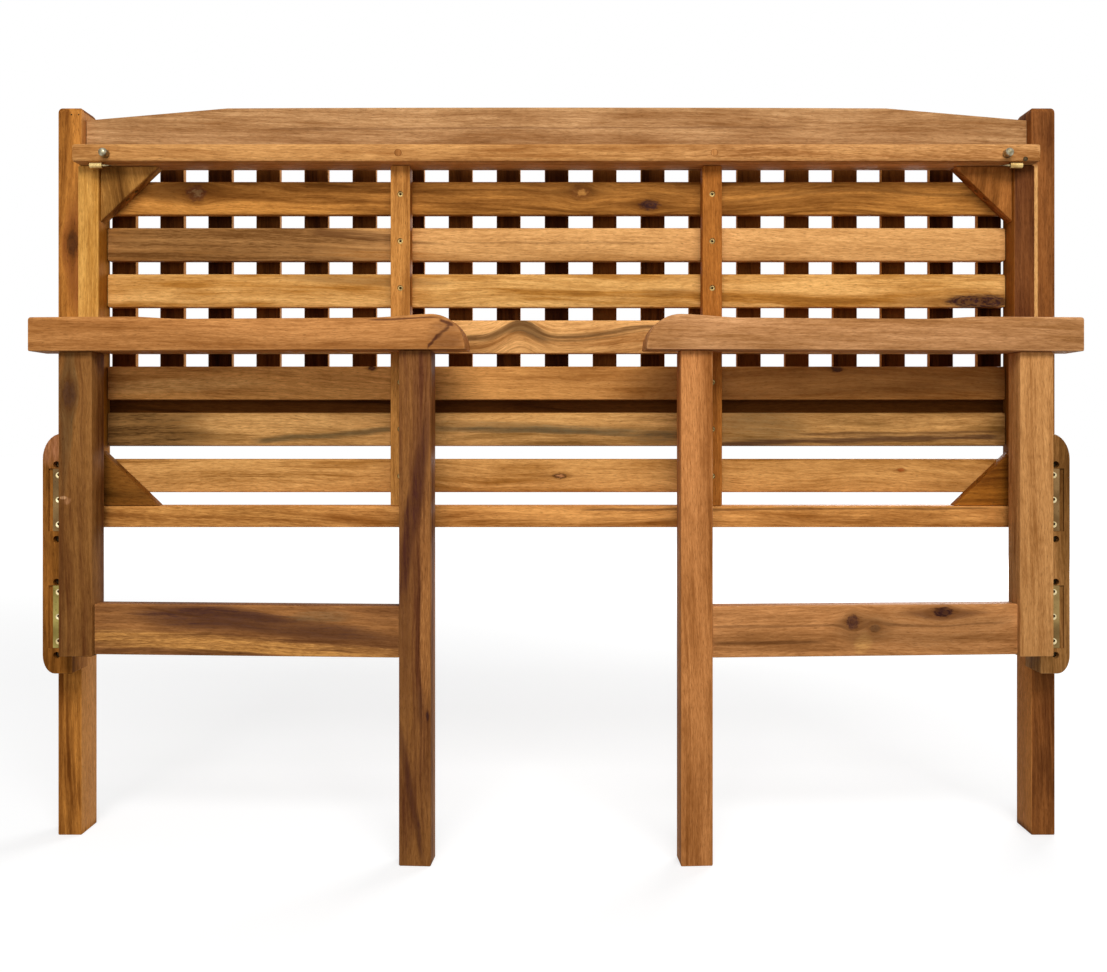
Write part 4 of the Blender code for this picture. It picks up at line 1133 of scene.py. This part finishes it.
def plugs_and_nails():
    """Wood plugs and one dark screw in the front rail, and two nails at the left leg's top."""
    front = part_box("seat_front_rail")[0].y
    mesh = bmesh.new()
    for side in (-1, 1):
        add_plug(mesh, facing((side * SUPPORT_X, front, PLUG_Z), FRONT), PLUG_RADIUS, PLUG_HEIGHT)
    plug_wood = wood("plug_wood", "seat_front_rail", "z", srgb(206, 142, 80), srgb(168, 108, 54), wear=0.0)
    rim_wood = wood("plug_rim", "seat_front_rail", "z", srgb(150, 92, 46), srgb(108, 62, 28), wear=0.0)
    make_piece("front_rail_plugs", mesh, [plug_wood, rim_wood], "seat")
    mesh = bmesh.new()
    x, z = RAIL_SCREW_PLACE
    add_plug(mesh, facing((x, front, z), FRONT), RAIL_SCREW_RADIUS, PLUG_HEIGHT)
    make_piece("front_rail_screw", mesh, [SHADED_ZINC, RECESS], "seat")
    mesh = bmesh.new()
    leg_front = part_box("left_rear_leg")[0].y
    for x, z in LEG_NAILS:
        add_plug(mesh, facing((x, leg_front, z), FRONT), LEG_NAIL_RADIUS, PLUG_HEIGHT)
    make_piece("left_leg_nails", mesh, [RECESS, RECESS], "back_frame")


leaf_screws()
wood_screws()
plugs_and_nails()


# Floor, light and camera

FLOOR_HALF = 30.0

# The floor's grey as it is seen and as it lights the bench, and its glow near the bench and far away
FLOOR_SEEN = 0.44
FLOOR_BOUNCE = 0.25
FLOOR_GLOW = (0.64, 1.0)
FLOOR_GLOW_REACH = (1.2, 5.0)
SKY_STRENGTH = 0.25

# Lamps: place, the point that they look at, width, height and power in watts
LAMPS = {
    "key": ((0.3, -3.1, 2.95), (0.0, 0.0, 0.45), 2.6, 1.5, 116.0),
    "fill": ((-0.4, -3.4, 0.9), (0.0, 0.0, 0.45), 2.4, 1.2, 28.0),
    "back": ((1.9, 3.0, 1.3), (0.0, 0.1, 0.5), 2.0, 1.6, 90.0),
}


def make_floor():
    """A pale floor that is white to the camera, apart from the bench's soft shadow."""
    mesh = bpy.data.meshes.new("studio_floor")
    corners = [(x * FLOOR_HALF, y * FLOOR_HALF, 0.0) for x, y in ((-1, -1), (1, -1), (1, 1), (-1, 1))]
    mesh.from_pydata(corners, [], [(0, 1, 2, 3)])
    floor = bpy.data.objects.new("studio_floor", mesh)
    bpy.context.scene.collection.objects.link(floor)
    material, tree = new_material("floor_paper")
    seen = background_rays(tree)
    x, y, _ = tree.split(tree.place())
    away = (x.power(2.0) + y.power(2.0)).power(0.5)
    near, far = FLOOR_GLOW
    diffuse = tree.add("ShaderNodeBsdfDiffuse")
    albedo = seen * (FLOOR_SEEN - FLOOR_BOUNCE) + FLOOR_BOUNCE
    tree.feed(diffuse.inputs["Color"], tree.vector(albedo, albedo, albedo))
    glow = tree.add("ShaderNodeEmission")
    tree.feed(glow.inputs["Strength"], seen * (tree.step(away, *FLOOR_GLOW_REACH) * (far - near) + near))
    both = tree.add("ShaderNodeAddShader")
    output = tree.add("ShaderNodeOutputMaterial")
    tree.link(diffuse.outputs[0], both.inputs[0])
    tree.link(glow.outputs[0], both.inputs[1])
    tree.link(both.outputs[0], output.inputs[0])
    mesh.materials.append(material)


def background_rays(tree):
    """1 where the camera, a reflection or glass looks at the background, otherwise 0."""
    path = tree.add("ShaderNodeLightPath")
    seen = Field(tree, path.outputs["Is Camera Ray"])
    for ray in ("Is Glossy Ray", "Is Transmission Ray"):
        seen = tree.math("MAXIMUM", seen, Field(tree, path.outputs[ray]))
    return seen


def make_world(strength):
    """An even grey sky for light, and white to the camera and in reflections."""
    world = bpy.data.worlds.new("studio")
    world.use_nodes = True
    world.node_tree.nodes.clear()
    tree = Tree(world.node_tree)
    sky = tree.add("ShaderNodeBackground")
    tree.feed(sky.inputs["Strength"], background_rays(tree) * (1.0 - strength) + strength)
    sky.inputs["Color"].default_value = (1.0, 1.0, 1.0, 1.0)
    output = tree.add("ShaderNodeOutputWorld")
    tree.link(sky.outputs[0], output.inputs[0])
    bpy.context.scene.world = world


def softbox(name, place, target, width, height, power):
    """A rectangular lamp that looks at a point."""
    lamp = bpy.data.lights.new(name, "AREA")
    lamp.shape = "RECTANGLE"
    lamp.size = width
    lamp.size_y = height
    lamp.energy = power
    holder = bpy.data.objects.new(name, lamp)
    holder.location = place
    holder.rotation_euler = (Vector(target) - Vector(place)).to_track_quat("-Z", "Y").to_euler()
    bpy.context.scene.collection.objects.link(holder)


# The photo's size, focal length and the middle of its perspective, in pixels
IMAGE_WIDTH = 1107
IMAGE_HEIGHT = 972
FOCAL_PIXELS = 1128.73
PRINCIPAL_X = 564.60
PRINCIPAL_Y = 440.76
CAMERA_PLACE = (0.00974, -1.32474, 0.47469)
SENSOR_WIDTH = 36.0


def make_camera():
    """A level camera that looks straight at the bench, with the frame shifted a little."""
    data = bpy.data.cameras.new("camera")
    data.sensor_width = SENSOR_WIDTH
    data.lens = SENSOR_WIDTH * FOCAL_PIXELS / IMAGE_WIDTH
    data.shift_x = (IMAGE_WIDTH / 2 - PRINCIPAL_X) / IMAGE_WIDTH
    data.shift_y = (PRINCIPAL_Y - IMAGE_HEIGHT / 2) / IMAGE_WIDTH
    holder = bpy.data.objects.new("camera", data)
    holder.location = CAMERA_PLACE
    holder.rotation_euler = (math.radians(90), 0.0, 0.0)
    bpy.context.scene.collection.objects.link(holder)
    bpy.context.scene.camera = holder


make_floor()
make_world(SKY_STRENGTH)
for name, settings in LAMPS.items():
    softbox(name, *settings)
make_camera()

bpy.context.scene.view_settings.view_transform = "Standard"
